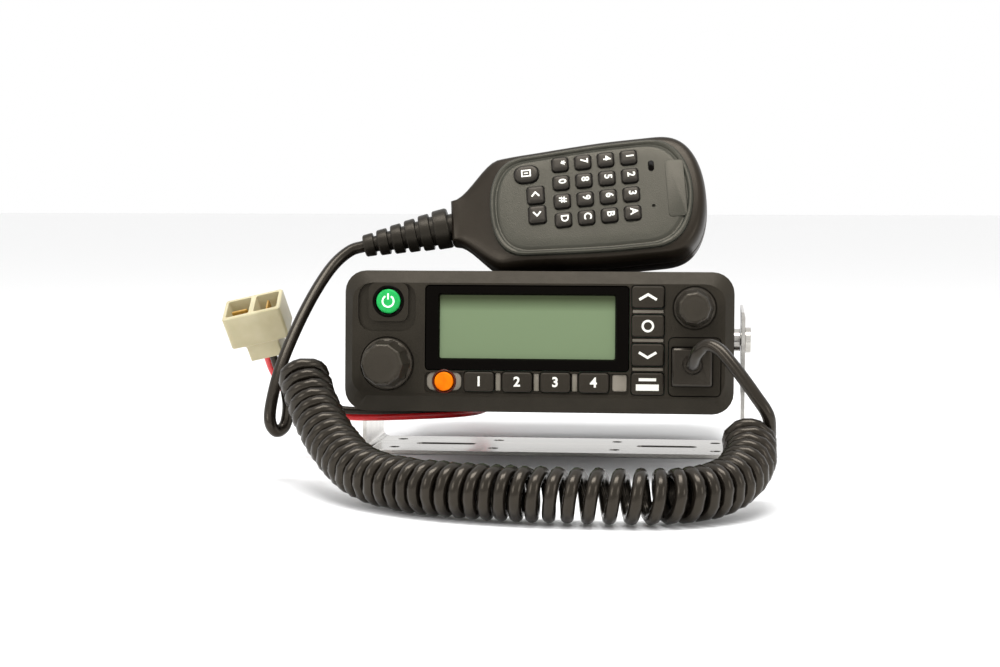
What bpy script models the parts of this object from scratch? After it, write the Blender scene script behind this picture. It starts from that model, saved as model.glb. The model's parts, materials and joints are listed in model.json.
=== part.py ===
"""Mobile transceiver with a tilting U bracket, a keypad hand microphone on a curly cord and a short power lead.

World frame: metres, +Z up, the front faces -Y, origin under the middle of the bracket's base. The radio,
the microphone, the cords and the power plug stand in a desk frame, which lies on the same surface ahead of
the bracket. In it the radio has its own frame, tilted with the radio, and the microphone another, whose
origin is the middle of the parting line between its two shells. Each frame is set by one empty.
"""

import math

import bmesh
import bpy
from mathutils import Matrix, Vector

MM = 0.001
GAP = 0.3

# Bracket
BRACKET_WIDTH = 155.0
BRACKET_DEPTH = 44.0
BRACKET_THICKNESS = 1.5
EAR_TOP = 59.0

# Radio, in its own frame
RADIO_PITCH = math.radians(-4.0)
RADIO_HEIGHT = 48.0
HINGE_Y = 28.0
HINGE_HEIGHT = RADIO_HEIGHT + HINGE_Y * math.sin(RADIO_PITCH)
DESK_Y = -HINGE_Y * math.cos(RADIO_PITCH)
BEZEL_WIDTH = 145.0
BEZEL_HEIGHT = 52.5
BEZEL_RADIUS = 8.0
FACE_HALF_X = 69.2
FACE_HALF_Z = 21.1
FACE_RAISE = 0.6
FRONT_Y = -63.0
RIM_Y = -59.5
BEZEL_BACK_Y = -43.0
WALL_BACK_Y = -60.5
CHASSIS_WIDTH = 140.0
CHASSIS_REAR_Y = 85.0
CHASSIS_FLOOR_Z = -23.0
CHASSIS_TOP_Z = 20.7
COVER_TOP_Z = 22.3

# Controls on the front face: x and z of each centre
WINDOW = (-41.9, 34.2, -10.9, 21.0)
STRIP_Z = -14.9
KEY_PITCH = 14.2
KEY_SIZE = (11.1, 7.2)
FIRST_KEY_X = -21.5
CALL_X = -34.6
NAV_X = 40.9
NAV_SIZE = (11.9, 8.0)
NAV_TOP_Z = 16.9
NAV_PITCH = 10.65
POWER_XZ = (-55.7, 14.7)
VOLUME_XZ = (-56.0, -8.5)
TUNING_XZ = (58.0, 13.0)
SOCKET = (48.6, 67.6, -19.4, 2.0)
PLUG_XZ = (57.2, -8.6)
PLUG_SIZE = (14.6, 14.0)
NOZZLE_XZ = (57.4, -7.6)
KEY_FACE_Y = -64.1
KEY_BACK_Y = -57.2

# Microphone, in its own frame: X along it, Z across it, -Y out of its face
MIC_ORIGIN = (21.0, -29.0, 100.6)
MIC_LEAN = math.radians(-26.0)
MIC_ROLL = math.radians(-6.0)
MIC_NECK_X = -57.0
MIC_END_X = 41.0
MIC_NECK_HALF = 8.5
MIC_SHOULDER_HALF = 23.0
MIC_HALF = 25.2
MIC_NOSE_X = 22.0
MIC_FACE_Y = -10.4
MIC_KEY_FACE_Y = -12.0
MIC_KEY_BACK_Y = -6.6
MIC_WALL = 2.2
MIC_KEY_SIZE = (6.3, 5.9)
MIC_COLUMN_PITCH = 8.75
MIC_ROW_PITCH = 7.75
MIC_GRID_Z = 3.7
MIC_HOLE = (21.2, -5.7)
RELIEF_LENGTH = 34.0
RELIEF_SAG = math.radians(-7.0)

# Cords, in the desk frame
CORD_RADIUS = 2.3
COIL_RADIUS = 9.5
WIRE_RADIUS = 1.6
MIC_LEAD = [
    (-70.3, -28.7, 86.2), (-76.0, -29.4, 84.3), (-82.2, -33.4, 78.4), (-88.0, -41.5, 68.0), (-93.0, -51.5, 55.2),
    (-97.0, -61.5, 41.5), (-98.9, -68.8, 29.0), (-98.6, -72.2, 22.4), (-96.6, -70.4, 18.8), (-94.0, -67.6, 20.8),
    (-92.8, -67.4, 27.0), (-92.4, -70.8, 33.2), (-92.3, -76.2, 38.7),
]
COIL_AXIS = [
    (-84.7, -76.0, 39.0), (-78.6, -86.0, 28.6), (-69.4, -100.0, 18.6), (-56.5, -117.5, 11.6), (-40.8, -131.1, 9.7),
    (-21.9, -142.0, 9.7), (2.1, -148.5, 9.7), (28.5, -150.5, 9.7), (48.1, -149.0, 9.7), (62.0, -141.5, 9.9),
    (72.5, -129.0, 12.4), (77.5, -114.0, 17.4), (77.6, -102.5, 22.2),
]
MIC_TAIL = [
    (57.4, -76.0, 45.7), (57.6, -82.3, 46.8), (59.0, -88.0, 51.0), (62.5, -91.5, 54.4), (67.0, -94.5, 53.0),
    (73.0, -98.5, 46.5), (79.5, -102.2, 38.0), (84.0, -103.2, 31.0), (84.8, -100.1, 23.2),
]
POWER_LEAD = [
    (-45.0, 91.6, 33.6), (-44.8, 99.2, 32.2), (-43.4, 105.0, 26.0), (-41.0, 104.4, 19.0), (-37.6, 97.6, 14.8),
    (-33.6, 84.0, 14.6), (-30.6, 66.0, 15.0), (-30.0, 48.0, 15.6), (-32.6, 30.0, 16.2), (-40.0, 14.0, 17.0),
    (-52.0, 1.0, 17.8), (-67.0, -8.0, 18.2), (-82.0, -12.4, 18.8), (-95.0, -12.6, 21.4), (-104.6, -10.8, 27.2),
    (-109.8, -11.2, 35.6), (-111.67, -14.56, 43.5),
]
WIRE_SPREAD = 1.9
PLUG_CENTRE = (-114.3, -20.0, 54.9)
PLUG_TURN = (math.radians(25.0), math.radians(-13.0), 0.0)

COLOURS = {
    "black_plastic": ((0.022, 0.021, 0.019), 0.55, 0.0),
    "black_gloss": ((0.008, 0.008, 0.009), 0.12, 0.0),
    "key_rubber": ((0.030, 0.029, 0.027), 0.6, 0.0),
    "lit_green": ((0.02, 0.62, 0.10), 0.35, 0.0),
    "call_orange": ((1.0, 0.24, 0.01), 0.4, 0.0),
    "lcd": ((0.21, 0.29, 0.16), 0.25, 0.0),
    "cast_metal": ((0.05, 0.05, 0.05), 0.5, 0.4),
    "steel": ((0.62, 0.62, 0.60), 0.28, 1.0),
    "circuit_board": ((0.02, 0.16, 0.07), 0.5, 0.0),
    "cord_rubber": ((0.012, 0.012, 0.012), 0.38, 0.0),
    "red_wire": ((0.62, 0.01, 0.02), 0.4, 0.0),
    "nylon": ((0.80, 0.76, 0.62), 0.42, 0.0),
}


def clear_scene():
    for item in list(bpy.data.objects):
        bpy.data.objects.remove(item, do_unlink=True)


def collection(name):
    made = bpy.data.collections.new(name)
    bpy.context.scene.collection.children.link(made)
    return made


def material(slot):
    found = bpy.data.materials.get(slot)
    if found:
        return found
    colour, roughness, metallic = COLOURS[slot]
    made = bpy.data.materials.new(slot)
    made.use_nodes = True
    shader = made.node_tree.nodes["Principled BSDF"]
    shader.inputs["Base Color"].default_value = (*colour, 1.0)
    shader.inputs["Roughness"].default_value = roughness
    shader.inputs["Metallic"].default_value = metallic
    made.diffuse_color = (*colour, 1.0)
    return made


clear_scene()
PARTS = collection("mobile_transceiver")
CUTTERS = collection("cutters")


def frame_empty(name, location, rotation=(0.0, 0.0, 0.0), parent=None):
    empty = bpy.data.objects.new(name, None)
    empty.location = Vector(location) * MM
    empty.rotation_euler = rotation
    empty.parent = parent
    PARTS.objects.link(empty)
    return empty


DESK = frame_empty("desk_frame", (0.0, DESK_Y, 0.0))
RADIO = frame_empty("radio_frame", (0.0, 0.0, RADIO_HEIGHT), (RADIO_PITCH, 0.0, 0.0), DESK)
MIC = frame_empty("microphone_frame", MIC_ORIGIN, (MIC_LEAN, MIC_ROLL, 0.0), DESK)


def add_object(name, mesh, slot, parent=None):
    """A part when it has a material slot, and otherwise a hidden cutter."""
    made = bpy.data.objects.new(name, mesh)
    if slot:
        PARTS.objects.link(made)
        mesh.materials.append(material(slot))
    else:
        CUTTERS.objects.link(made)
        made.hide_render = True
        made.display_type = "WIRE"
    made.parent = parent
    return made


def finish_mesh(name, bm, smooth_angle=40.0):
    bmesh.ops.recalc_face_normals(bm, faces=bm.faces)
    mesh = bpy.data.meshes.new(name)
    bm.to_mesh(mesh)
    bm.free()
    mesh.shade_smooth()
    mesh.set_sharp_from_angle(angle=math.radians(smooth_angle))
    return mesh


def round_edges(bm, axis, radius, segments):
    """Bevels the edges that run along one axis."""
    edges = []
    for edge in bm.edges:
        run = (edge.verts[1].co - edge.verts[0].co).normalized()
        if abs(run[axis]) > 0.99:
            edges.append(edge)
    bmesh.ops.bevel(bm, geom=edges, offset=radius * MM, segments=segments, profile=0.5, affect="EDGES")


def box_bmesh(low, high):
    bm = bmesh.new()
    bmesh.ops.create_cube(bm, size=1.0)
    size = [(h - l) * MM for l, h in zip(low, high)]
    centre = [(h + l) * 0.5 * MM for l, h in zip(low, high)]
    bmesh.ops.scale(bm, vec=size, verts=bm.verts)
    bmesh.ops.translate(bm, vec=centre, verts=bm.verts)
    return bm


def box(name, low, high, slot=None, parent=None, radius=0.0, axis=1, segments=3, soften=0.0):
    """A box whose edges along one axis are rounded, and whose front edges may be softened by one chamfer."""
    bm = box_bmesh(low, high)
    if radius:
        round_edges(bm, axis, radius, segments)
    if soften:
        front = min(vertex.co.y for vertex in bm.verts)
        rim = [e for e in bm.edges if all(abs(v.co.y - front) < 1e-6 for v in e.verts)]
        bmesh.ops.bevel(bm, geom=rim, offset=soften * MM, segments=1, profile=0.5, affect="EDGES")
    return add_object(name, finish_mesh(name, bm), slot, parent)


def plate(name, area, y_front, y_back, slot=None, parent=None, **options):
    """A box facing the front: area is its low x, high x, low z and high z."""
    low = (area[0], y_front, area[2])
    high = (area[1], y_back, area[3])
    return box(name, low, high, slot, parent, **options)


def grow(area, margin):
    return (area[0] - margin, area[1] + margin, area[2] - margin, area[3] + margin)


def around(centre, size):
    return (
        centre[0] - size[0] / 2,
        centre[0] + size[0] / 2,
        centre[1] - size[1] / 2,
        centre[1] + size[1] / 2,
    )


def disc(name, centre, radius, y_front, y_back, slot=None, parent=None, sides=24, end_radius=None):
    """A cylinder or cone whose axis runs along Y. centre is its x and z."""
    bm = bmesh.new()
    bmesh.ops.create_cone(
        bm,
        cap_ends=True,
        segments=sides,
        radius1=radius * MM,
        radius2=(radius if end_radius is None else end_radius) * MM,
        depth=(y_back - y_front) * MM,
    )
    bmesh.ops.rotate(bm, verts=bm.verts, matrix=Matrix.Rotation(math.radians(-90.0), 3, "X"))
    middle = Vector((centre[0], (y_front + y_back) / 2, centre[1])) * MM
    bmesh.ops.translate(bm, vec=middle, verts=bm.verts)
    return add_object(name, finish_mesh(name, bm), slot, parent)


def rod(name, centre, radius, low_x, high_x, slot=None, parent=None, sides=20):
    """A cylinder whose axis runs along X. centre is its y and z."""
    bm = bmesh.new()
    bmesh.ops.create_cone(
        bm,
        cap_ends=True,
        segments=sides,
        radius1=radius * MM,
        radius2=radius * MM,
        depth=(high_x - low_x) * MM,
    )
    bmesh.ops.rotate(bm, verts=bm.verts, matrix=Matrix.Rotation(math.radians(90.0), 3, "Y"))
    middle = Vector(((low_x + high_x) / 2, centre[0], centre[1])) * MM
    bmesh.ops.translate(bm, vec=middle, verts=bm.verts)
    return add_object(name, finish_mesh(name, bm), slot, parent)


def post(name, centre, radius, low_z, high_z, slot=None, parent=None, sides=20, top_radius=None):
    """A cylinder or cone whose axis runs along Z. centre is its x and y."""
    bm = bmesh.new()
    bmesh.ops.create_cone(
        bm,
        cap_ends=True,
        segments=sides,
        radius1=radius * MM,
        radius2=(radius if top_radius is None else top_radius) * MM,
        depth=(high_z - low_z) * MM,
    )
    middle = Vector((centre[0], centre[1], (low_z + high_z) / 2)) * MM
    bmesh.ops.translate(bm, vec=middle, verts=bm.verts)
    return add_object(name, finish_mesh(name, bm), slot, parent)


def combine(target, tool, operation="DIFFERENCE"):
    """Cuts the tool out of the target, or joins it on, with a live exact Boolean."""
    if tool.name in PARTS.objects:
        PARTS.objects.unlink(tool)
        CUTTERS.objects.link(tool)
    tool.hide_render = True
    tool.display_type = "WIRE"
    step = target.modifiers.new(operation.lower(), "BOOLEAN")
    step.operation = operation
    step.solver = "EXACT"
    step.object = tool
    return target


def lathe(name, profile, slot, parent=None, steps=20):
    """A turned solid about its own Z. The profile is radius and height, from the top down its outer side."""
    bm = bmesh.new()
    ring = [bm.verts.new((radius * MM, 0.0, height * MM)) for radius, height in profile]
    for first, second in zip(ring, ring[1:]):
        bm.edges.new((first, second))
    mesh = bpy.data.meshes.new(name)
    bm.to_mesh(mesh)
    bm.free()
    made = add_object(name, mesh, slot, parent)
    screw = made.modifiers.new("turn", "SCREW")
    screw.steps = steps
    screw.render_steps = steps
    screw.use_merge_vertices = True
    screw.merge_threshold = 0.00001
    screw.use_smooth_shade = True
    return made


def catmull_rom(points, count):
    """Evenly counted points on the smooth curve through the given ones."""
    padded = [2 * points[0] - points[1], *points, 2 * points[-1] - points[-2]]
    spans = len(points) - 1
    found = []
    for i in range(count):
        place = i / (count - 1) * spans
        span = min(int(place), spans - 1)
        t = place - span
        a, b, c, d = padded[span : span + 4]
        bend = 2 * a - 5 * b + 4 * c - d
        twist = 3 * b - a - 3 * c + d
        found.append(0.5 * (2 * b + (c - a) * t + bend * t**2 + twist * t**3))
    return found


def beside(points, distance):
    """The points moved to one side of their own line, by a side that is carried along it without twist."""
    side = Vector((1.0, 0.0, 0.0))
    moved = []
    for i, point in enumerate(points):
        tangent = (points[min(i + 1, len(points) - 1)] - points[max(i - 1, 0)]).normalized()
        side = (side - tangent * side.dot(tangent)).normalized()
        moved.append(point + side * distance * MM)
    return moved


def tube(name, route, radius, count, slot, resolution=2, aside=0.0):
    """A round cord along the smooth curve through a route given in millimetres, or beside it."""
    points = beside(catmull_rom([Vector(place) * MM for place in route], count), aside)
    curve = bpy.data.curves.new(name, "CURVE")
    curve.dimensions = "3D"
    curve.bevel_depth = radius * MM
    curve.bevel_resolution = resolution
    curve.use_fill_caps = True
    spline = curve.splines.new("POLY")
    spline.points.add(count - 1)
    for point, place in zip(spline.points, points):
        point.co = (*place, 1.0)
    curve.materials.append(material(slot))
    made = bpy.data.objects.new(name, curve)
    made.parent = DESK
    PARTS.objects.link(made)
    return made


def build_bracket():
    """A steel strap bent to a U, slotted in its base and pierced for the two hinge bolts."""
    half = BRACKET_WIDTH / 2
    depth = BRACKET_DEPTH / 2
    bracket = box("bracket", (-half, -depth, 0.0), (half, depth, EAR_TOP + 2.0), "steel", radius=4.0)
    inner = half - BRACKET_THICKNESS
    inside = (-inner, -depth - 5.0, BRACKET_THICKNESS)
    combine(bracket, box("bracket_inside", inside, (inner, depth + 5.0, EAR_TOP + 9.0), radius=2.6))
    crown = (-half - 5.0, -depth - 5.0, EAR_TOP)
    combine(bracket, box("bracket_crown", crown, (half + 5.0, depth + 5.0, EAR_TOP + 9.0)))
    combine(bracket, rod("hinge_holes", (0.0, HINGE_HEIGHT), 2.6, -half - 5.0, half + 5.0))
    for side in (-1, 1):
        for row in (-1, 1):
            for x in (25.0, 66.0):
                hole = post(f"screw_hole_{x:.0f}", (side * x, row * 12.0), 2.2, -5.0, 5.0, sides=12)
                combine(bracket, hole)
        slot_low = (side * 46.0 - 12.5, -2.6, -5.0)
        slot_high = (side * 46.0 + 12.5, 2.6, 5.0)
        combine(bracket, box("mounting_slot", slot_low, slot_high, radius=2.5, axis=2))


def build_bolt(name, side):
    """A hinge bolt: its shank in the casting, a spacer up to the bracket's ear and a round head outside it."""
    half = BRACKET_WIDTH / 2
    centre = (HINGE_Y, 0.0)
    shank = sorted((side * (CHASSIS_WIDTH / 2 - 1.4), side * (half + 1.5)))
    bolt = rod(name, centre, 2.3, *shank, "steel", RADIO)
    spacer = sorted((side * (CHASSIS_WIDTH / 2 + GAP), side * (half - BRACKET_THICKNESS - GAP)))
    combine(bolt, rod(f"{name}_spacer", centre, 4.6, *spacer, None, RADIO), "UNION")
    head = sorted((side * (half + GAP), side * (half + 2.6)))
    combine(bolt, rod(f"{name}_head", centre, 5.2, *head, None, RADIO), "UNION")


def build_bezel():
    """The moulded front shell: a sloping rim, a thin front wall and an opening for each control."""
    half_x = BEZEL_WIDTH / 2
    half_z = BEZEL_HEIGHT / 2
    bm = box_bmesh((-half_x, RIM_Y, -half_z), (half_x, BEZEL_BACK_Y, half_z))
    round_edges(bm, 1, BEZEL_RADIUS, 6)
    front = min(bm.faces, key=lambda face: face.calc_center_median().y)
    bmesh.ops.recalc_face_normals(bm, faces=bm.faces)
    grown = bmesh.ops.extrude_face_region(bm, geom=[front])
    rim = [item for item in grown["geom"] if isinstance(item, bmesh.types.BMVert)]
    bmesh.ops.delete(bm, geom=[front], context="FACES_ONLY")
    for vertex in rim:
        vertex.co.x *= FACE_HALF_X / half_x
        vertex.co.z = vertex.co.z * FACE_HALF_Z / half_z + FACE_RAISE * MM
        vertex.co.y = FRONT_Y * MM
    bezel = add_object("front_bezel", finish_mesh("front_bezel", bm), "black_plastic", RADIO)
    cavity = (-69.5, 69.5, -22.9, 22.9)
    combine(bezel, plate("bezel_cavity", cavity, WALL_BACK_Y, -40.0, parent=RADIO, radius=5.0))
    build_power_pocket(bezel)
    cut_front(bezel, "window_opening", WINDOW, 0.0, -66.0, -58.0, 1.5)
    strip = (WINDOW[0], WINDOW[1], STRIP_Z - 4.4, WINDOW[2] - 0.6)
    cut_front(bezel, "key_strip", strip, 0.0, -66.0, FRONT_Y + 1.0, 1.5)
    nav_strip = (WINDOW[1] + 0.7, 47.2, STRIP_Z - 4.4, WINDOW[3])
    cut_front(bezel, "nav_strip", nav_strip, 0.0, -66.0, FRONT_Y + 1.0, 1.5)
    cut_front(bezel, "socket_opening", SOCKET, GAP, -66.0, -58.0, 2.0)
    recess = ((VOLUME_XZ, 10.2), (TUNING_XZ, 8.2))
    for centre, radius in recess:
        combine(bezel, disc("knob_recess", centre, radius, -66.0, FRONT_Y + 1.2, None, RADIO, 32))
        combine(bezel, disc("knob_hole", centre, 3.6, -66.0, -58.0, None, RADIO, 20))
    return bezel


def cut_front(bezel, name, area, margin, y_front, y_back, radius):
    combine(bezel, plate(name, grow(area, margin), y_front, y_back, parent=RADIO, radius=radius))


def build_power_pocket(bezel):
    """A scooped pocket round the power button, with the button's square boss left standing in it."""
    pocket = plate("power_pocket", (-67.0, -45.4, 3.6, 21.6), -66.0, FRONT_Y + 1.4, parent=RADIO, radius=5.0)
    combine(bezel, pocket)
    boss = plate("power_boss", (-63.2, -48.2, 7.3, 21.7), FRONT_Y, -61.0, parent=RADIO, radius=3.0)
    combine(bezel, boss, "UNION")
    combine(bezel, disc("power_hole", POWER_XZ, 4.9, -66.0, -58.0, None, RADIO))


def build_front_keys(bezel):
    """Every push key on the front, each running in its own opening."""
    disc("power_button", POWER_XZ, 4.55, FRONT_Y - 0.5, KEY_BACK_Y, "lit_green", RADIO)
    call = (CALL_X, STRIP_Z)
    combine(bezel, disc("call_hole", call, 3.8, -66.0, -58.0, None, RADIO))
    disc("call_button", call, 3.5, KEY_FACE_Y - 0.3, KEY_BACK_Y, "call_orange", RADIO)
    layout = []
    for index in range(4):
        centre = (FIRST_KEY_X + index * KEY_PITCH, STRIP_Z)
        layout.append((f"function_key_{index + 1}", centre, KEY_SIZE))
    for index, label in enumerate(("up_key", "enter_key", "down_key", "band_key")):
        centre = (NAV_X, NAV_TOP_Z - index * NAV_PITCH)
        layout.append((label, centre, NAV_SIZE))
    for name, centre, size in layout:
        area = around(centre, size)
        cut_front(bezel, f"{name}_opening", area, GAP, -66.0, -58.0, 1.2)
        plate(name, area, KEY_FACE_Y, KEY_BACK_Y, "key_rubber", RADIO, radius=1.0, segments=2, soften=0.4)


def build_knob(name, centre, skirt_radius, body_radius, cap_radius, reach, lobes):
    """A lobed knob: a round skirt, a tapered body with shallow finger lobes and the shaft behind it."""
    bm = bmesh.new()
    sides = lobes * 6
    skirt_front = FRONT_Y - 1.6
    front = skirt_front - reach
    bmesh.ops.create_cone(
        bm,
        cap_ends=True,
        segments=sides,
        radius1=cap_radius * MM,
        radius2=body_radius * MM,
        depth=(reach + 1.0) * MM,
    )
    for vertex in bm.verts:
        angle = math.atan2(vertex.co.y, vertex.co.x)
        swell = 1.0 + 0.035 * math.cos(lobes * angle)
        vertex.co.x *= swell
        vertex.co.y *= swell
    cap = [e for e in bm.edges if all(v.co.z < 0.0 for v in e.verts)]
    bmesh.ops.bevel(bm, geom=cap, offset=1.0 * MM, segments=2, profile=0.5, affect="EDGES")
    bmesh.ops.rotate(bm, verts=bm.verts, matrix=Matrix.Rotation(math.radians(-90.0), 3, "X"))
    middle = Vector((centre[0], front + (reach + 1.0) / 2, centre[1])) * MM
    bmesh.ops.translate(bm, vec=middle, verts=bm.verts)
    knob = add_object(name, finish_mesh(name, bm, 30.0), "black_plastic", RADIO)
    skirt = disc(f"{name}_skirt", centre, skirt_radius, skirt_front, FRONT_Y + 0.8, None, RADIO, 36)
    combine(knob, skirt, "UNION")
    combine(knob, disc(f"{name}_shaft", centre, 3.0, FRONT_Y, -51.0, None, RADIO, 20), "UNION")
    return knob


def build_sleeve(name, centre, y_front=-57.0, y_back=-46.0):
    """The fixed body of a potentiometer or encoder, bored for the knob's shaft."""
    area = around(centre, (12.0, 12.0))
    body = plate(name, area, y_front, y_back, "steel", RADIO, radius=1.0, segments=1)
    return combine(body, disc(f"{name}_bore", centre, 3.3, y_front - 5.0, -50.5, None, RADIO, 20))


def build_display():
    plate("display_window", grow(WINDOW, -GAP), FRONT_Y + 0.2, -61.4, "black_gloss", RADIO, radius=1.2)
    plate("lcd_module", (-39.5, 31.5, -9.3, 19.6), -61.1, -55.5, "lcd", RADIO, radius=1.0, segments=1)
    board = (-45.2, 50.5, -19.5, 20.5)
    plate("control_board", board, -54.8, -53.2, "circuit_board", RADIO)


def build_socket():
    socket = plate("mic_socket", SOCKET, FRONT_Y + 0.3, -55.0, "black_plastic", RADIO, radius=1.7)
    opening = around(PLUG_XZ, PLUG_SIZE)
    combine(socket, plate("socket_mouth", grow(opening, GAP), -70.0, -57.0, parent=RADIO, radius=0.6))
    plug = plate("mic_plug", opening, -68.6, -57.6, "cord_rubber", RADIO, radius=0.8, segments=2, soften=0.8)
    nozzle = disc("plug_nozzle", NOZZLE_XZ, 3.0, -75.2, -66.0, None, RADIO, 16, 4.2)
    combine(plug, nozzle, "UNION")


def build_chassis():
    """The cast heat-sink tray, the folded lid, what is inside and what is on the rear wall."""
    half = CHASSIS_WIDTH / 2
    front = BEZEL_BACK_Y + GAP
    chassis = box(
        "chassis", (-half, front, CHASSIS_FLOOR_Z), (half, CHASSIS_REAR_Y, CHASSIS_TOP_Z), "cast_metal", RADIO
    )
    hollow = (-half + 3.0, front - 5.0, CHASSIS_FLOOR_Z + 3.0)
    combine(chassis, box("chassis_hollow", hollow, (half - 3.0, CHASSIS_REAR_Y - 12.0, 40.0), None, RADIO))
    for index in range(11):
        x = -55.0 + index * 11.0
        groove = (x - 2.5, CHASSIS_REAR_Y - 7.0, 4.0)
        combine(chassis, box("rear_groove", groove, (x + 2.5, CHASSIS_REAR_Y + 5.0, 40.0), None, RADIO))
    combine(chassis, rod("bolt_bore", (HINGE_Y, 0.0), 2.6, -80.0, 80.0, None, RADIO, 16))
    for x in (-58.0, 58.0):
        for y in (-22.0, 60.0):
            boss = post("board_boss", (x, y), 3.0, CHASSIS_FLOOR_Z + 2.0, -15.3, None, RADIO, 12)
            combine(chassis, boss, "UNION")
    box("main_board", (-64.0, -32.0, -15.0), (64.0, 68.0, -13.4), "circuit_board", RADIO)
    build_lid(half, front)
    speaker = post("speaker", (-22.0, 14.0), 12.0, 5.0, 14.0, "cast_metal", RADIO, 24)
    basket = post("speaker_basket", (-22.0, 14.0), 12.0, 13.0, 20.2, None, RADIO, 24, 28.0)
    combine(speaker, basket, "UNION")
    pad = box("bottom_pad", (11.0, 30.0, -26.4), (47.0, 62.0, -22.0), None, RADIO, radius=4.0, axis=2)
    combine(chassis, pad, "UNION")
    build_rear()


def build_lid(half, front):
    lid = box("top_cover", (-half - 1.3, front, 9.0), (half + 1.3, CHASSIS_REAR_Y, COVER_TOP_Z), "cast_metal", RADIO)
    inside_low = (-half - GAP, front - 5.0, 0.0)
    inside_high = (half + GAP, CHASSIS_REAR_Y + 5.0, CHASSIS_TOP_Z + GAP)
    combine(lid, box("lid_inside", inside_low, inside_high, None, RADIO))
    for row in range(5):
        y = -1.0 + row * 7.5
        slot_low = (-40.0, y - 1.5, 15.0)
        combine(lid, box("speaker_slot", slot_low, (-4.0, y + 1.5, 30.0), None, RADIO, radius=1.4, axis=2))


def build_rear():
    """The aerial socket and the power lead's rubber gland on the rear wall."""
    rear = CHASSIS_REAR_Y
    aerial_profile = [(0.0, 16.0), (8.0, 16.0), (8.0, 2.0), (11.0, 2.0), (11.0, 0.3), (0.0, 0.3)]
    aerial = lathe("aerial_socket", aerial_profile, "steel", RADIO, 28)
    aerial.location = Vector((42.0, rear, -8.0)) * MM
    aerial.rotation_euler = (math.radians(-90.0), 0.0, 0.0)
    disc("power_gland", (-45.0, -8.0), 5.6, rear + GAP, rear + 7.0, "cord_rubber", RADIO)


def smooth_step(value):
    held = min(1.0, max(0.0, value))
    return held * held * (3.0 - 2.0 * held)


def mic_half_width(x):
    """Half the microphone's width at a place along it: a narrow neck, then a body that ends in a round nose."""
    body = MIC_SHOULDER_HALF + (MIC_HALF - MIC_SHOULDER_HALF) * smooth_step((x + 40.0) / 50.0)
    neck = MIC_NECK_HALF + (body - MIC_NECK_HALF) * smooth_step((x - MIC_NECK_X) / 20.0)
    if x <= MIC_NOSE_X:
        return neck
    share = (x - MIC_NOSE_X) / (MIC_END_X - MIC_NOSE_X)
    return neck * max(0.0, 1.0 - share**3.0) ** 0.5


def mic_depth_scale(x):
    """The neck is thinner than the body, so depths shrink towards it."""
    return 0.5 + 0.5 * smooth_step((x - MIC_NECK_X) / 30.0)


def mic_ring(inset, count):
    """One outline of the microphone, drawn in all round by the inset, as x and z pairs."""
    start = MIC_NECK_X + inset * 0.6
    end = MIC_END_X - inset
    upper = []
    for i in range(count + 1):
        share = math.sin(0.5 * math.pi * i / count)
        x = start + (end - start) * share
        base = MIC_NECK_X + (MIC_END_X - MIC_NECK_X) * share
        upper.append((x, max(0.0, mic_half_width(base) * (1.0 - inset / MIC_HALF))))
    lower = [(x, -z) for x, z in reversed(upper[:-1])]
    return upper + lower


def mic_shell(name, sections, slot=None, count=18):
    """A shell half as a skin over outlines, closed by strips across both ends. A section is a depth and an inset."""
    bm = bmesh.new()
    rings = []
    for depth, inset in sections:
        ring = []
        for x, z in mic_ring(inset, count):
            ring.append(bm.verts.new((x * MM, depth * mic_depth_scale(x) * MM, z * MM)))
        rings.append(ring)
    for first, second in zip(rings, rings[1:]):
        for i in range(len(first)):
            j = (i + 1) % len(first)
            bm.faces.new((first[i], first[j], second[j], second[i]))
    for ring in (rings[0], rings[-1]):
        for i in range(count - 1):
            bm.faces.new((ring[i], ring[i + 1], ring[2 * count - 1 - i], ring[2 * count - i]))
        bm.faces.new((ring[count - 1], ring[count], ring[count + 1]))
    return add_object(name, finish_mesh(name, bm, 35.0), slot, MIC)


def build_mic_keys(shell):
    """Sixteen keypad keys in four rows, a mode key and two step keys, each in its own opening."""
    rows = (("1", "4", "7", "star"), ("2", "5", "8", "0"), ("3", "6", "9", "hash"), ("a", "b", "c", "d"))
    layout = []
    for row, labels in enumerate(rows):
        for column, label in enumerate(labels):
            x = (1.5 - column) * MIC_COLUMN_PITCH
            z = MIC_GRID_Z + (1.5 - row) * MIC_ROW_PITCH
            layout.append((f"mic_key_{label}", (x, z), MIC_KEY_SIZE, 1.6))
    layout.append(("mic_mode_key", (-26.2, 12.7), (9.4, 7.2), 3.4))
    layout.append(("mic_up_key", (-23.1, 3.5), (6.6, 7.3), 1.4))
    layout.append(("mic_down_key", (-22.9, -4.7), (6.6, 7.3), 1.4))
    for name, centre, size, radius in layout:
        area = around(centre, size)
        opening = plate(f"{name}_opening", grow(area, GAP), -15.0, -5.0, parent=MIC, radius=radius, segments=2)
        combine(shell, opening)
        front, back = MIC_KEY_FACE_Y, MIC_KEY_BACK_Y
        plate(name, area, front, back, "key_rubber", MIC, radius=radius, segments=2, soften=0.6)


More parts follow.
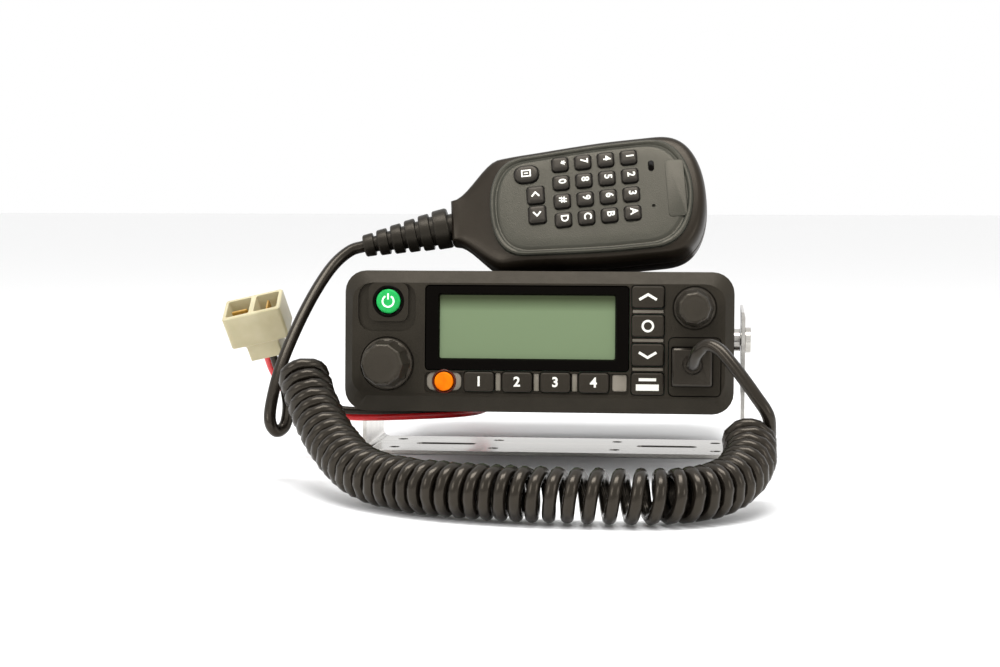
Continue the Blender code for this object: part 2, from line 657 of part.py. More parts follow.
def build_microphone():
    """Two shells that meet at the parting line, with the keys, talk switch, board and capsule between them."""
    outer = [(-0.15, 0.0), (-5.5, 0.0), (-8.6, 1.4), (-9.4, 3.8), (-10.2, 7.0), (MIC_FACE_Y, 11.0)]
    front = mic_shell("mic_front_shell", outer, "black_plastic")
    combine(front, mic_shell("mic_front_cavity", [(1.0, MIC_WALL), (-5.5, MIC_WALL), (-7.8, 5.0)]))
    outer = [(0.15, 0.0), (8.0, 1.2), (14.0, 4.2), (18.0, 8.5), (20.0, 14.0)]
    back = mic_shell("mic_back_shell", outer, "black_plastic")
    combine(back, mic_shell("mic_back_cavity", [(-1.0, MIC_WALL), (8.0, 3.6), (15.0, 8.8)]))
    build_mic_keys(front)
    combine(front, disc("mic_hole", MIC_HOLE, 0.8, -15.0, -5.0, None, MIC, 12))
    talk_low = (-14.0, 1.6, 21.0)
    talk_high = (20.0, 10.0, 26.4)
    notch_low = [value - GAP for value in talk_low]
    notch_high = (talk_high[0] + GAP, talk_high[1] + GAP, 40.0)
    notch_low[2] = 15.0
    combine(back, box("talk_notch", notch_low, notch_high, None, MIC))
    box("talk_switch", talk_low, talk_high, "key_rubber", MIC, radius=1.6, axis=1, segments=3)
    box("mic_board", (-36.0, -4.5, -16.0), (28.0, -3.3, 16.0), "circuit_board", MIC)
    disc("mic_capsule", MIC_HOLE, 4.0, -7.2, -4.9, "steel", MIC, 20)
    build_relief()


def build_relief():
    """The ribbed rubber strain relief, tapering from the microphone's neck to the cord."""
    ribs = 6
    base = 7.6
    tip = 4.3
    profile = [(0.0, RELIEF_LENGTH)]
    for index in range(ribs):
        start = RELIEF_LENGTH * (1.0 - index / ribs)
        width = RELIEF_LENGTH / ribs
        outer = tip + (base - tip) * index / (ribs - 1)
        inner = outer - 1.3
        profile.append((outer, start))
        profile.append((outer + 0.2, start - width * 0.72))
        if index < ribs - 1:
            profile.append((inner, start - width * 0.72))
            profile.append((inner, start - width))
    profile.append((base, 0.0))
    profile.append((0.0, 0.0))
    relief = lathe("mic_strain_relief", profile, "cord_rubber", MIC, 18)
    relief.location = Vector((MIC_NECK_X - 1.5, 2.4, 0.0)) * MM
    relief.rotation_euler = (0.0, math.radians(-90.0) + RELIEF_SAG, 0.0)


def build_cords():
    """The microphone cord as three plain solids, and the two insulated wires of the power lead with their plug."""
    tube("mic_cord_lead", MIC_LEAD, CORD_RADIUS, 24, "cord_rubber")
    tube("mic_cord_coil", COIL_AXIS, COIL_RADIUS, 40, "cord_rubber", 4)
    tube("mic_cord_tail", MIC_TAIL, CORD_RADIUS, 26, "cord_rubber")
    tube("power_wire_black", POWER_LEAD, WIRE_RADIUS, 56, "cord_rubber", 2, WIRE_SPREAD)
    tube("power_wire_red", POWER_LEAD, WIRE_RADIUS, 56, "red_wire", 2, -WIRE_SPREAD)


def build_power_plug():
    """A two-way nylon plug housing: a wide mouth over a narrower neck that the wires enter from below."""
    holder = frame_empty("plug_frame", PLUG_CENTRE, PLUG_TURN, DESK)
    plug = box("power_plug", (-11.8, -8.0, -5.0), (11.8, 8.0, 9.0), "nylon", holder, radius=1.0, segments=1)
    neck = box("plug_neck", (-6.6, -6.0, -12.5), (6.6, 6.0, 0.0), None, holder)
    combine(plug, neck, "UNION")


def main():
    build_bracket()
    build_bolt("bracket_bolt_left", -1)
    build_bolt("bracket_bolt_right", 1)
    bezel = build_bezel()
    build_front_keys(bezel)
    build_knob("volume_knob", VOLUME_XZ, 9.6, 8.8, 7.8, 11.5, 10)
    build_knob("tuning_knob", TUNING_XZ, 7.6, 6.9, 5.9, 9.5, 9)
    build_sleeve("volume_potentiometer", VOLUME_XZ)
    build_sleeve("tuning_encoder", TUNING_XZ)
    build_display()
    build_socket()
    build_chassis()
    build_microphone()
    build_cords()
    build_power_plug()


main()
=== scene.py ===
"""The looks of the mobile transceiver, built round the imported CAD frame."""

import json
import math

import bmesh
import bpy
from mathutils import Matrix, Vector


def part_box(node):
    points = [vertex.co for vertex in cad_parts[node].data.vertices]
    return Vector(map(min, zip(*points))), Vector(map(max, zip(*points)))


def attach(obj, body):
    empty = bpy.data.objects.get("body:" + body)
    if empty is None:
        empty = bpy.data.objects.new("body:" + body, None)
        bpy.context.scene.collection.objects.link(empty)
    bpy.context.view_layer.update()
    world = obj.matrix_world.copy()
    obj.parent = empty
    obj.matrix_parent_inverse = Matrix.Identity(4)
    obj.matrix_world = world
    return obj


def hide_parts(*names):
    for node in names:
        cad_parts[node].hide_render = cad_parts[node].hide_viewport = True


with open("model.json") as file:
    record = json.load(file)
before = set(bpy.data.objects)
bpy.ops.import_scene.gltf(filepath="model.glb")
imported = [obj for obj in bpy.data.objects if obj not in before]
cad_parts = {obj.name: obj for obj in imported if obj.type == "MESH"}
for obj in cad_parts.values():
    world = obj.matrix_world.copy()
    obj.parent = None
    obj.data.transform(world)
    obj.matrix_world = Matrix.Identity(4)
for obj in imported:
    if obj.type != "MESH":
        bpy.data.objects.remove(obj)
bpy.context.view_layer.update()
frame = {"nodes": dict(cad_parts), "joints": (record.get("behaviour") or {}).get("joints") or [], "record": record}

MM = 0.001
RECORD = frame["record"]
JOINTS = {joint["name"]: joint for joint in frame["joints"]}
BODY_OF = {node: body for body, nodes in RECORD["behaviour"]["bodies"].items() for node in nodes}

# Sizes that the looks share with the design, in millimetres. Those of the radio and the microphone are in
# their own frames. The cords' routes and the power plug are in the desk frame, which lies on the surface.
HINGE_Y = 28.0
FRONT_Y = -63.0
WINDOW = (-41.9, 34.2, -10.9, 21.0)
STRIP_Z = -14.9
KEY_PITCH = 14.2
FIRST_KEY_X = -21.5
CALL_XZ = (-34.6, STRIP_Z)
NAV_X = 40.9
NAV_TOP_Z = 16.9
NAV_PITCH = 10.65
POWER_XZ = (-55.7, 14.7)
VOLUME_XZ = (-56.0, -8.5)
TUNING_XZ = (58.0, 13.0)
GAP = 0.3
CORD_RADIUS = 2.3
COIL_RADIUS = 9.5
WIRE_RADIUS = 1.6
WIRE_SPREAD = 1.9
MIC_NECK_X = -57.0
MIC_END_X = 41.0
MIC_NECK_HALF = 8.5
MIC_SHOULDER_HALF = 23.0
MIC_HALF = 25.2
MIC_NOSE_X = 22.0
MIC_KEY_SIZE = (6.3, 5.9)
MIC_COLUMN_PITCH = 8.75
MIC_ROW_PITCH = 7.75
MIC_GRID_Z = 3.7
MIC_HOLE = (21.2, -5.7)
MIC_FACE_Y = -10.9
MIC_CUT_Y = (-9.9, -12.5)
MIC_BOARD_CENTRE = (-4.0, -3.9, 0.0)
RELIEF_LENGTH = 34.0
RELIEF_RIBS = 6
RELIEF_BASE = 7.6
RELIEF_TIP = 4.3
RELIEF_TURN = math.radians(-97.0)
TALK_SWITCH = ((-14.0, 1.6, 21.0), (20.0, 10.0, 26.4))
MIC_LEAD = [
    (-70.3, -28.7, 86.2), (-76.0, -29.4, 84.3), (-82.2, -33.4, 78.4), (-88.0, -41.5, 68.0),
    (-93.0, -51.5, 55.2), (-97.0, -61.5, 41.5), (-98.9, -68.8, 29.0), (-98.6, -72.2, 22.4),
    (-96.6, -70.4, 18.8), (-94.0, -67.6, 20.8), (-92.8, -67.4, 27.0), (-92.4, -70.8, 33.2),
    (-92.3, -76.2, 38.7),
]
COIL_AXIS = [
    (-84.7, -76.0, 39.0), (-78.6, -86.0, 28.6), (-69.4, -100.0, 18.6), (-56.5, -117.5, 11.6),
    (-40.8, -131.1, 9.7), (-21.9, -142.0, 9.7), (2.1, -148.5, 9.7), (28.5, -150.5, 9.7),
    (48.1, -149.0, 9.7), (62.0, -141.5, 9.9), (72.5, -129.0, 12.4), (77.5, -114.0, 17.4),
    (77.6, -102.5, 22.2),
]
MIC_TAIL = [
    (57.4, -76.0, 45.7), (57.6, -82.3, 46.8), (59.0, -88.0, 51.0), (62.5, -91.5, 54.4),
    (67.0, -94.5, 53.0), (73.0, -98.5, 46.5), (79.5, -102.2, 38.0), (84.0, -103.2, 31.0),
    (84.8, -100.1, 23.2),
]
POWER_LEAD = [
    (-45.0, 91.6, 33.6), (-44.8, 99.2, 32.2), (-43.4, 105.0, 26.0), (-41.0, 104.4, 19.0),
    (-37.6, 97.6, 14.8), (-33.6, 84.0, 14.6), (-30.6, 66.0, 15.0), (-30.0, 48.0, 15.6),
    (-32.6, 30.0, 16.2), (-40.0, 14.0, 17.0), (-52.0, 1.0, 17.8), (-67.0, -8.0, 18.2),
    (-82.0, -12.4, 18.8), (-95.0, -12.6, 21.4), (-104.6, -10.8, 27.2), (-109.8, -11.2, 35.6),
    (-111.67, -14.56, 43.5),
]
PLUG_CENTRE = (-114.3, -20.0, 54.9)
PLUG_TURN = (math.radians(25.0), math.radians(-13.0))


# ---------------------------------------------------------------- frames of the radio and the microphone


def local_frame(x_axis, y_axis, origin):
    """A frame with the given X and Y directions, which are at right angles, and its Z from both."""
    z_axis = x_axis.cross(y_axis).normalized()
    turned = Matrix((x_axis.normalized(), y_axis.normalized(), z_axis)).transposed().to_4x4()
    return Matrix.Translation(origin) @ turned


def middle(node):
    low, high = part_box(node)
    return (low + high) / 2


def radio_frame():
    """X to the right, Y into the front panel and Z up it, with its origin ahead of the hinge."""
    inward = Vector(JOINTS["power_button_press"]["axis"])
    hinge = Vector(JOINTS["bracket_tilt"]["pos_m"])
    return local_frame(Vector((1.0, 0.0, 0.0)), inward, hinge - inward * HINGE_Y * MM)


def mic_frame():
    """X along the microphone to its nose, Y into its face and Z towards the talk switch."""
    inward = Vector(JOINTS["mic_key_5_press"]["axis"])
    down = Vector(JOINTS["talk_press"]["axis"])
    made = local_frame(inward.cross(-down), inward, Vector((0.0, 0.0, 0.0)))
    board_centre = Vector(MIC_BOARD_CENTRE) * MM
    made.translation = middle("mic_board") - made.to_3x3() @ board_centre
    return made


RADIO = radio_frame()
MIC = mic_frame()
DESK = Matrix.Translation((0.0, RADIO.translation.y, 0.0))


# ---------------------------------------------------------------- materials


class Nodes:
    """A material under construction: its Principled shader and short ways to add texture nodes."""

    def __init__(self, name, colour, roughness, metallic=0.0, coat=0.0):
        self.material = bpy.data.materials.new(name)
        self.material.use_nodes = True
        self.tree = self.material.node_tree
        self.shader = self.tree.nodes["Principled BSDF"]
        self.shader.inputs["Base Color"].default_value = (*colour, 1.0)
        self.shader.inputs["Roughness"].default_value = roughness
        self.shader.inputs["Metallic"].default_value = metallic
        self.shader.inputs["Coat Weight"].default_value = coat
        self.shader.inputs["Coat Roughness"].default_value = 0.12
        self.coordinates = self.tree.nodes.new("ShaderNodeTexCoord").outputs["Object"]

    def link(self, output, target):
        self.tree.links.new(output, target)

    def noise(self, scale, detail=3.0, stretch=(1.0, 1.0, 1.0)):
        mapping = self.tree.nodes.new("ShaderNodeMapping")
        mapping.inputs["Scale"].default_value = stretch
        self.link(self.coordinates, mapping.inputs["Vector"])
        texture = self.tree.nodes.new("ShaderNodeTexNoise")
        texture.inputs["Scale"].default_value = scale
        texture.inputs["Detail"].default_value = detail
        self.link(mapping.outputs["Vector"], texture.inputs["Vector"])
        return texture.outputs["Fac"]

    def ramp(self, factor, low, high, start=0.3, end=0.7):
        ramp = self.tree.nodes.new("ShaderNodeValToRGB")
        ramp.color_ramp.elements[0].color = (*low, 1.0)
        ramp.color_ramp.elements[1].color = (*high, 1.0)
        ramp.color_ramp.elements[0].position = start
        ramp.color_ramp.elements[1].position = end
        self.link(factor, ramp.inputs["Fac"])
        return ramp.outputs["Color"]

    def spread(self, factor, low, high):
        spread = self.tree.nodes.new("ShaderNodeMapRange")
        spread.inputs["To Min"].default_value = low
        spread.inputs["To Max"].default_value = high
        self.link(factor, spread.inputs["Value"])
        return spread.outputs["Result"]

    def vary_colour(self, factor, low, high):
        self.link(self.ramp(factor, low, high), self.shader.inputs["Base Color"])
        return self

    def vary_roughness(self, factor, low, high):
        self.link(self.spread(factor, low, high), self.shader.inputs["Roughness"])
        return self

    def bump(self, factor, strength, distance):
        bump = self.tree.nodes.new("ShaderNodeBump")
        bump.inputs["Strength"].default_value = strength
        bump.inputs["Distance"].default_value = distance
        self.link(factor, bump.inputs["Height"])
        self.link(bump.outputs["Normal"], self.shader.inputs["Normal"])
        return self

    def glow(self, colour, strength):
        self.shader.inputs["Emission Color"].default_value = (*colour, 1.0)
        self.shader.inputs["Emission Strength"].default_value = strength
        return self


def grained_plastic(name, dark, light, low, high, scale, strength, specular):
    """Moulded plastic with a fine spark-eroded grain and faint blotches in its colour."""
    made = Nodes(name, dark, low)
    made.shader.inputs["Specular IOR Level"].default_value = specular
    made.shader.inputs["Specular Tint"].default_value = (1.0, 0.88, 0.72, 1.0)
    made.vary_colour(made.noise(55.0, 4.0), dark, light)
    made.vary_roughness(made.noise(420.0, 2.0), low, high)
    made.bump(made.noise(scale, 2.0), strength, 0.00012)
    return made.material


def build_materials():
    made = {}
    made["black_plastic"] = grained_plastic(
        "panel_plastic", (0.010, 0.0085, 0.006), (0.017, 0.0145, 0.0105), 0.42, 0.56, 2100.0, 0.6, 0.24
    )
    made["knob_plastic"] = grained_plastic(
        "knob_plastic", (0.012, 0.0105, 0.008), (0.020, 0.017, 0.013), 0.30, 0.42, 1700.0, 0.25, 0.34
    )
    made["key_rubber"] = grained_plastic(
        "key_rubber", (0.012, 0.010, 0.0075), (0.019, 0.016, 0.012), 0.42, 0.56, 3200.0, 0.3, 0.26
    )
    made["mic_key"] = grained_plastic(
        "mic_key_rubber", (0.007, 0.0065, 0.006), (0.012, 0.011, 0.010), 0.30, 0.44, 2600.0, 0.2, 0.30
    )
    made["cast_metal"] = grained_plastic(
        "powder_coat", (0.007, 0.0066, 0.006), (0.014, 0.013, 0.012), 0.42, 0.58, 1500.0, 0.8, 0.26
    )
    made["mic_shell"] = grained_plastic(
        "mic_shell_plastic", (0.007, 0.0052, 0.0035), (0.012, 0.0092, 0.0066), 0.28, 0.40, 1700.0, 0.2, 0.26
    )
    made["mic_face"] = grained_plastic(
        "mic_face_plastic", (0.016, 0.018, 0.014), (0.026, 0.028, 0.022), 0.34, 0.46, 2600.0, 0.7, 0.42
    )
    made["relief_rubber"] = grained_plastic(
        "relief_rubber", (0.006, 0.005, 0.004), (0.010, 0.009, 0.007), 0.34, 0.48, 1900.0, 0.3, 0.28
    )
    made["cord_rubber"] = grained_plastic(
        "cord_jacket", (0.005, 0.004, 0.003), (0.010, 0.008, 0.006), 0.20, 0.30, 1400.0, 0.10, 0.38
    )
    made["satin_strip"] = grained_plastic(
        "satin_strip", (0.10, 0.09, 0.07), (0.20, 0.18, 0.15), 0.24, 0.36, 900.0, 0.1, 0.6
    )
    made["dark_red"] = grained_plastic(
        "call_surround", (0.05, 0.004, 0.002), (0.09, 0.008, 0.004), 0.2, 0.3, 900.0, 0.1, 0.4
    )
    gloss = Nodes("window_gloss", (0.0015, 0.001, 0.0006), 0.07)
    gloss.shader.inputs["Specular IOR Level"].default_value = 0.04
    made["black_gloss"] = gloss.vary_roughness(gloss.noise(180.0), 0.05, 0.11).material
    steel = Nodes("plated_steel", (0.60, 0.58, 0.55), 0.2, 1.0)
    grain = steel.noise(260.0, 4.0, (0.08, 1.0, 1.0))
    steel.vary_colour(grain, (0.46, 0.44, 0.41), (0.66, 0.64, 0.60))
    steel.vary_roughness(grain, 0.14, 0.28)
    made["steel"] = steel.bump(grain, 0.05, 0.0001).material
    board = Nodes("solder_mask", (0.012, 0.10, 0.045), 0.35, 0.0, 0.3)
    board.vary_colour(board.noise(300.0, 1.0), (0.01, 0.09, 0.04), (0.03, 0.17, 0.08))
    made["circuit_board"] = board.material
    red = Nodes("red_insulation", (0.60, 0.008, 0.012), 0.32, 0.0, 0.3)
    made["red_wire"] = red.vary_colour(red.noise(90.0), (0.50, 0.006, 0.010), (0.72, 0.016, 0.02)).material
    nylon = Nodes("natural_nylon", (0.46, 0.41, 0.25), 0.36)
    nylon.vary_colour(nylon.noise(70.0), (0.38, 0.33, 0.19), (0.50, 0.45, 0.29))
    nylon.shader.inputs["Subsurface Weight"].default_value = 0.3
    nylon.shader.inputs["Subsurface Radius"].default_value = (0.004, 0.003, 0.002)
    made["nylon"] = nylon.bump(nylon.noise(900.0), 0.1, 0.0001).material
    brass = Nodes("brass_contact", (0.70, 0.42, 0.10), 0.3, 1.0)
    made["brass"] = brass.vary_colour(brass.noise(400.0), (0.60, 0.34, 0.08), (0.80, 0.52, 0.16)).material
    green = Nodes("green_lens", (0.01, 0.34, 0.07), 0.4)
    green.shader.inputs["Specular IOR Level"].default_value = 0.15
    green.vary_colour(green.noise(300.0), (0.010, 0.30, 0.06), (0.016, 0.40, 0.09))
    made["lit_green"] = green.material
    orange = Nodes("orange_lens", (0.85, 0.16, 0.0), 0.45)
    orange.shader.inputs["Specular IOR Level"].default_value = 0.08
    orange.vary_colour(orange.noise(300.0), (0.80, 0.14, 0.0), (0.94, 0.20, 0.0))
    made["call_orange"] = orange.material
    legend = Nodes("white_print", (0.74, 0.73, 0.66), 0.5)
    made["legend"] = legend.vary_roughness(legend.noise(700.0), 0.42, 0.6).material
    lit = Nodes("lit_print", (0.72, 0.92, 0.78), 0.4)
    made["lit_legend"] = lit.vary_roughness(lit.noise(700.0), 0.35, 0.5).glow((0.8, 1.0, 0.86), 0.25).material
    made["lcd"] = lcd_material()
    return made


def lcd_material():
    """Grey-green liquid crystal with a painted shadow of the frame's top edge: darker towards its top, in colour
    and in its faint glow.
    """
    made = Nodes("lcd_panel", (0.11, 0.15, 0.08), 0.32)
    made.shader.inputs["Specular IOR Level"].default_value = 0.15
    split = made.tree.nodes.new("ShaderNodeSeparateXYZ")
    made.link(made.coordinates, split.inputs["Vector"])
    height = made.tree.nodes.new("ShaderNodeMapRange")
    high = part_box("lcd_module")[1]
    height.inputs["From Min"].default_value = high.z - 0.011
    height.inputs["From Max"].default_value = high.z - 0.003
    made.link(split.outputs["Z"], height.inputs["Value"])
    # painted shade: the colour darkens over the pane's top few millimetres in place of the frame's shadow, and the
    # glow takes the same colour
    shade = made.ramp(height.outputs["Result"], (0.135, 0.182, 0.100), (0.040, 0.052, 0.022), 0.35, 0.95)
    made.link(shade, made.shader.inputs["Base Color"])
    made.link(shade, made.shader.inputs["Emission Color"])
    made.shader.inputs["Emission Strength"].default_value = 0.05
    return made.bump(made.noise(1200.0), 0.03, 0.0001).material


LOOKS = build_materials()
SLOT_OF = {part["node"]: part["material_slot"] for part in RECORD["subparts"]}


# ---------------------------------------------------------------- making pieces


def shade(mesh, angle=35.0):
    mesh.shade_smooth()
    mesh.set_sharp_from_angle(angle=math.radians(angle))


def place(name, mesh, look, body, matrix=None):
    """A finished piece in the scene, riding on its body."""
    piece = bpy.data.objects.new(name, mesh)
    bpy.context.scene.collection.objects.link(piece)
    if matrix is not None:
        piece.matrix_world = matrix
    if look:
        mesh.materials.clear()
        mesh.materials.append(LOOKS[look])
    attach(piece, body)
    return piece


def evaluated_mesh(piece):
    """The piece's mesh with its modifiers applied, as new data."""
    graph = bpy.context.evaluated_depsgraph_get()
    return bpy.data.meshes.new_from_object(piece.evaluated_get(graph), depsgraph=graph)


def apply_modifiers(piece):
    made = evaluated_mesh(piece)
    piece.modifiers.clear()
    piece.data = made
    return piece


def refine(node, width=0.25, look=None, segments=2, angle=30.0):
    """A CAD node's shape again with its corners rounded, smooth shading and a better material."""
    source = frame["nodes"][node]
    bm = bmesh.new()
    bm.from_mesh(source.data)
    bmesh.ops.remove_doubles(bm, verts=bm.verts, dist=0.00001)
    bmesh.ops.dissolve_limit(bm, angle_limit=math.radians(0.8), verts=bm.verts, edges=bm.edges)
    bmesh.ops.recalc_face_normals(bm, faces=bm.faces)
    mesh = bpy.data.meshes.new(f"{node}_look")
    bm.to_mesh(mesh)
    bm.free()
    shade(mesh, angle)
    slot = SLOT_OF[node]
    piece = place(f"{node}_look", mesh, look or slot, BODY_OF[node])
    rounding = piece.modifiers.new("rounding", "BEVEL")
    rounding.width = width * MM
    rounding.segments = segments
    rounding.limit_method = "ANGLE"
    rounding.angle_limit = math.radians(angle)
    rounding.harden_normals = True
    apply_modifiers(piece)
    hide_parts(node)
    return piece


def catmull_rom(points, count):
    """Evenly counted points on the smooth curve through the given ones."""
    padded = [2 * points[0] - points[1], *points, 2 * points[-1] - points[-2]]
    spans = len(points) - 1
    found = []
    for i in range(count):
        place_on = i / (count - 1) * spans
        span = min(int(place_on), spans - 1)
        t = place_on - span
        a, b, c, d = padded[span : span + 4]
        bend = 2 * a - 5 * b + 4 * c - d
        twist = 3 * b - a - 3 * c + d
        found.append(0.5 * (2 * b + (c - a) * t + bend * t**2 + twist * t**3))
    return found


def desk_points(route):
    """A cord's route as points of the world, in millimetres."""
    return [DESK @ (Vector(point) * MM) / MM for point in route]


def beside(points, distance):
    """The points moved to one side of their own line, by a side that is carried along it without twist."""
    frames = axis_frames(points, Vector((1.0, 0.0, 0.0)))
    return [point + side * distance for point, _, side, _ in frames]


def cord_curve(name, points, radius, look):
    """A round cord as a curve of one open spline through points given in millimetres."""
    curve = bpy.data.curves.new(name, "CURVE")
    curve.dimensions = "3D"
    curve.bevel_depth = radius * MM
    curve.bevel_resolution = 4
    curve.use_fill_caps = True
    spline = curve.splines.new("POLY")
    spline.points.add(len(points) - 1)
    for target, point in zip(spline.points, points):
        target.co = (*(point * MM), 1.0)
    curve.materials.append(LOOKS[look])
    piece = bpy.data.objects.new(name, curve)
    bpy.context.scene.collection.objects.link(piece)
    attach(piece, "radio")
    return piece


# ---------------------------------------------------------------- cords

HELIX_RADIUS = COIL_RADIUS - CORD_RADIUS
TIGHT_PITCH = 4.95
LOOSE_PITCH = 7.2
LOOSE_AT = 0.66
LOOSE_WIDTH = 0.085
TURN_POINTS = 16
COIL_STEP = 0.25
OVERRUN = 2.6


def resample(points, step):
    """The same line with points a fixed distance apart."""
    found = [points[0]]
    carried = 0.0
    for first, second in zip(points, points[1:]):
        length = (second - first).length
        place_on = step - carried
        while place_on <= length:
            found.append(first.lerp(second, place_on / length))
            place_on += step
        carried = length - (place_on - step)
    return found


def axis_frames(points, first_side):
    """A tangent and two sides at each point of a line, carried along it without twist."""
    frames = []
    side = first_side
    for i, point in enumerate(points):
        ahead = points[min(i + 1, len(points) - 1)] - points[max(i - 1, 0)]
        tangent = ahead.normalized()
        side = (side - tangent * side.dot(tangent)).normalized()
        frames.append((point, tangent, side, tangent.cross(side)))
    return frames


def coil_points():
    """The left-handed turns of the curly part, closest at its ends and drawn apart right of the middle."""
    axis = catmull_rom(desk_points(COIL_AXIS), 600)
    start_run = (axis[0] - axis[1]).normalized() * OVERRUN
    end_run = (axis[-1] - axis[-2]).normalized() * OVERRUN
    line = resample([axis[0] + start_run, *axis, axis[-1] + end_run], COIL_STEP)
    lead_end = desk_points(MIC_LEAD)[-1]
    tail_end = desk_points(MIC_TAIL)[-1]
    frames = axis_frames(line, lead_end - line[0])
    turns = [0.0]
    for i in range(1, len(line)):
        share = i / len(line)
        looseness = math.exp(-(((share - LOOSE_AT) / LOOSE_WIDTH) ** 2))
        pitch = TIGHT_PITCH + (LOOSE_PITCH - TIGHT_PITCH) * looseness
        turns.append(turns[-1] + COIL_STEP / pitch)
    point, _, side, other = frames[-1]
    towards = tail_end - point
    last = math.atan2(towards.dot(other), towards.dot(side)) / (2 * math.pi)
    whole = round(turns[-1] + last) - last
    scale = whole / turns[-1]
    found = []
    wanted = 0.0
    for (point, _, side, other), turn in zip(frames, turns):
        if turn * scale < wanted:
            continue
        wanted += 1.0 / TURN_POINTS
        angle = -2 * math.pi * turn * scale
        found.append(point + (side * math.cos(angle) + other * math.sin(angle)) * HELIX_RADIUS)
    return found


def build_mic_cord():
    lead = catmull_rom(desk_points(MIC_LEAD), 90)
    tail = catmull_rom(desk_points(MIC_TAIL), 70)
    tail.reverse()
    coil = coil_points()
    points = [*lead[:-1], *coil[1:-1], *tail[1:]]
    piece = cord_curve("mic_cord", points, CORD_RADIUS, "cord_rubber")
    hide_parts("mic_cord_lead", "mic_cord_coil", "mic_cord_tail")


def build_power_lead(plug):
    route = catmull_rom(desk_points(POWER_LEAD), 140)
    for name, look, distance in (
        ("power_wire_black", "cord_rubber", WIRE_SPREAD),
        ("power_wire_red", "red_wire", -WIRE_SPREAD),
    ):
        points = beside(route, distance)
        piece = cord_curve(f"{name}_look", points, WIRE_RADIUS, look)
        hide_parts(name)


# ---------------------------------------------------------------- shapes in a local frame


def to_mesh(bm, name, frame_matrix, smooth_angle=35.0):
    """A mesh in the world, in metres, from shapes drawn in millimetres in a local frame."""
    bmesh.ops.recalc_face_normals(bm, faces=bm.faces)
    bmesh.ops.scale(bm, vec=(MM, MM, MM), verts=bm.verts)
    bmesh.ops.transform(bm, matrix=frame_matrix, verts=bm.verts)
    mesh = bpy.data.meshes.new(name)
    bm.to_mesh(mesh)
    bm.free()
    shade(mesh, smooth_angle)
    return mesh


def add_ring(bm, points):
    return [bm.verts.new(point) for point in points]


def bridge(bm, first, second):
    for i in range(len(first)):
        j = (i + 1) % len(first)
        bm.faces.new((first[i], first[j], second[j], second[i]))


def skin(bm, rings):
    """A closed skin over a row of rings, with a flat face on each end."""
    for first, second in zip(rings, rings[1:]):
        bridge(bm, first, second)
    bm.faces.new(rings[0])
    bm.faces.new(rings[-1])


def close_ring(bm, ring):
    """Strips between the two sides of an outline that is drawn from one end over its top and back below."""
    half = len(ring) // 2
    for i in range(half):
        upper = (ring[i], ring[i + 1])
        lower = (ring[-i - 1], ring[-i] if i else ring[0])
        corners = list(dict.fromkeys((*upper, *lower)))
        if len(corners) > 2:
            bm.faces.new(corners)


def rounded_outline(area, radius, steps=6):
    """The corners of a rounded rectangle as x and z pairs."""
    low_x, high_x, low_z, high_z = area
    turns = (
        (high_x - radius, high_z - radius, 0.0),
        (low_x + radius, high_z - radius, 90.0),
        (low_x + radius, low_z + radius, 180.0),
        (high_x - radius, low_z + radius, 270.0),
    )
    found = []
    for x, z, start in turns:
        for i in range(steps + 1):
            angle = math.radians(start + 90.0 * i / steps)
            found.append((x + radius * math.cos(angle), z + radius * math.sin(angle)))
    return found


def around(centre, size):
    half_x = size[0] / 2
    half_z = size[1] / 2
    return (centre[0] - half_x, centre[0] + half_x, centre[1] - half_z, centre[1] + half_z)


def grow(area, margin):
    return (area[0] - margin, area[1] + margin, area[2] - margin, area[3] + margin)


def stack_plates(bm, layers):
    """One closed skin over rounded rectangles. A layer is an area, a corner radius and a depth."""
    rings = []
    for area, radius, depth in layers:
        rings.append(add_ring(bm, [(x, depth, z) for x, z in rounded_outline(area, radius)]))
    skin(bm, rings)


def soft_plate(name, area, radius, front, back, look, body, frame_matrix, edge=0.3):
    """A plate facing the front, with rounded corners and a rounded front edge."""
    bm = bmesh.new()
    layers = [(area, radius, back), (area, radius, front + edge)]
    for degrees in (30.0, 60.0, 90.0):
        turn = math.radians(degrees)
        inset = edge * (1.0 - math.cos(turn))
        layers.append((grow(area, -inset), max(0.05, radius - inset), front + edge * (1.0 - math.sin(turn))))
    stack_plates(bm, layers)
    return place(name, to_mesh(bm, name, frame_matrix), look, body)


def turned(bm, profile, centre, steps, swell=None):
    """A turned skin about a line along Y. The profile holds radius and depth; swell scales each radius."""
    rings = []
    for radius, depth in profile:
        ring = []
        for i in range(steps):
            angle = 2 * math.pi * i / steps
            reach = radius * (swell(angle, radius, depth) if swell else 1.0)
            x = centre[0] + reach * math.cos(angle)
            ring.append((x, depth, centre[1] + reach * math.sin(angle)))
        rings.append(add_ring(bm, ring))
    skin(bm, rings)


def cut(piece, bm, frame_matrix):
    """Cuts closed shapes that don't touch each other out of a piece."""
    mesh = to_mesh(bm, "cutter", frame_matrix)
    cutter = bpy.data.objects.new("cutter", mesh)
    bpy.context.scene.collection.objects.link(cutter)
    step = piece.modifiers.new("cut", "BOOLEAN")
    step.solver = "EXACT"
    step.object = cutter
    apply_modifiers(piece)
    bpy.data.objects.remove(cutter)
    shade(piece.data, 30.0)
    return piece


# ---------------------------------------------------------------- printed marks

PRINT_DEPTH = 0.06


def facing(centre, front, frame_matrix, turn=0.0):
    """Where a mark goes: its own x to the right, its y up and its z towards the viewer, turned about that."""
    upright = Matrix(((1, 0, 0), (0, 0, -1), (0, 1, 0))).to_4x4()
    spot = Matrix.Translation(Vector((centre[0], front - 0.01, centre[1])) * MM)
    return frame_matrix @ spot @ upright @ Matrix.Rotation(turn, 4, "Z") @ Matrix.Scale(MM, 4)


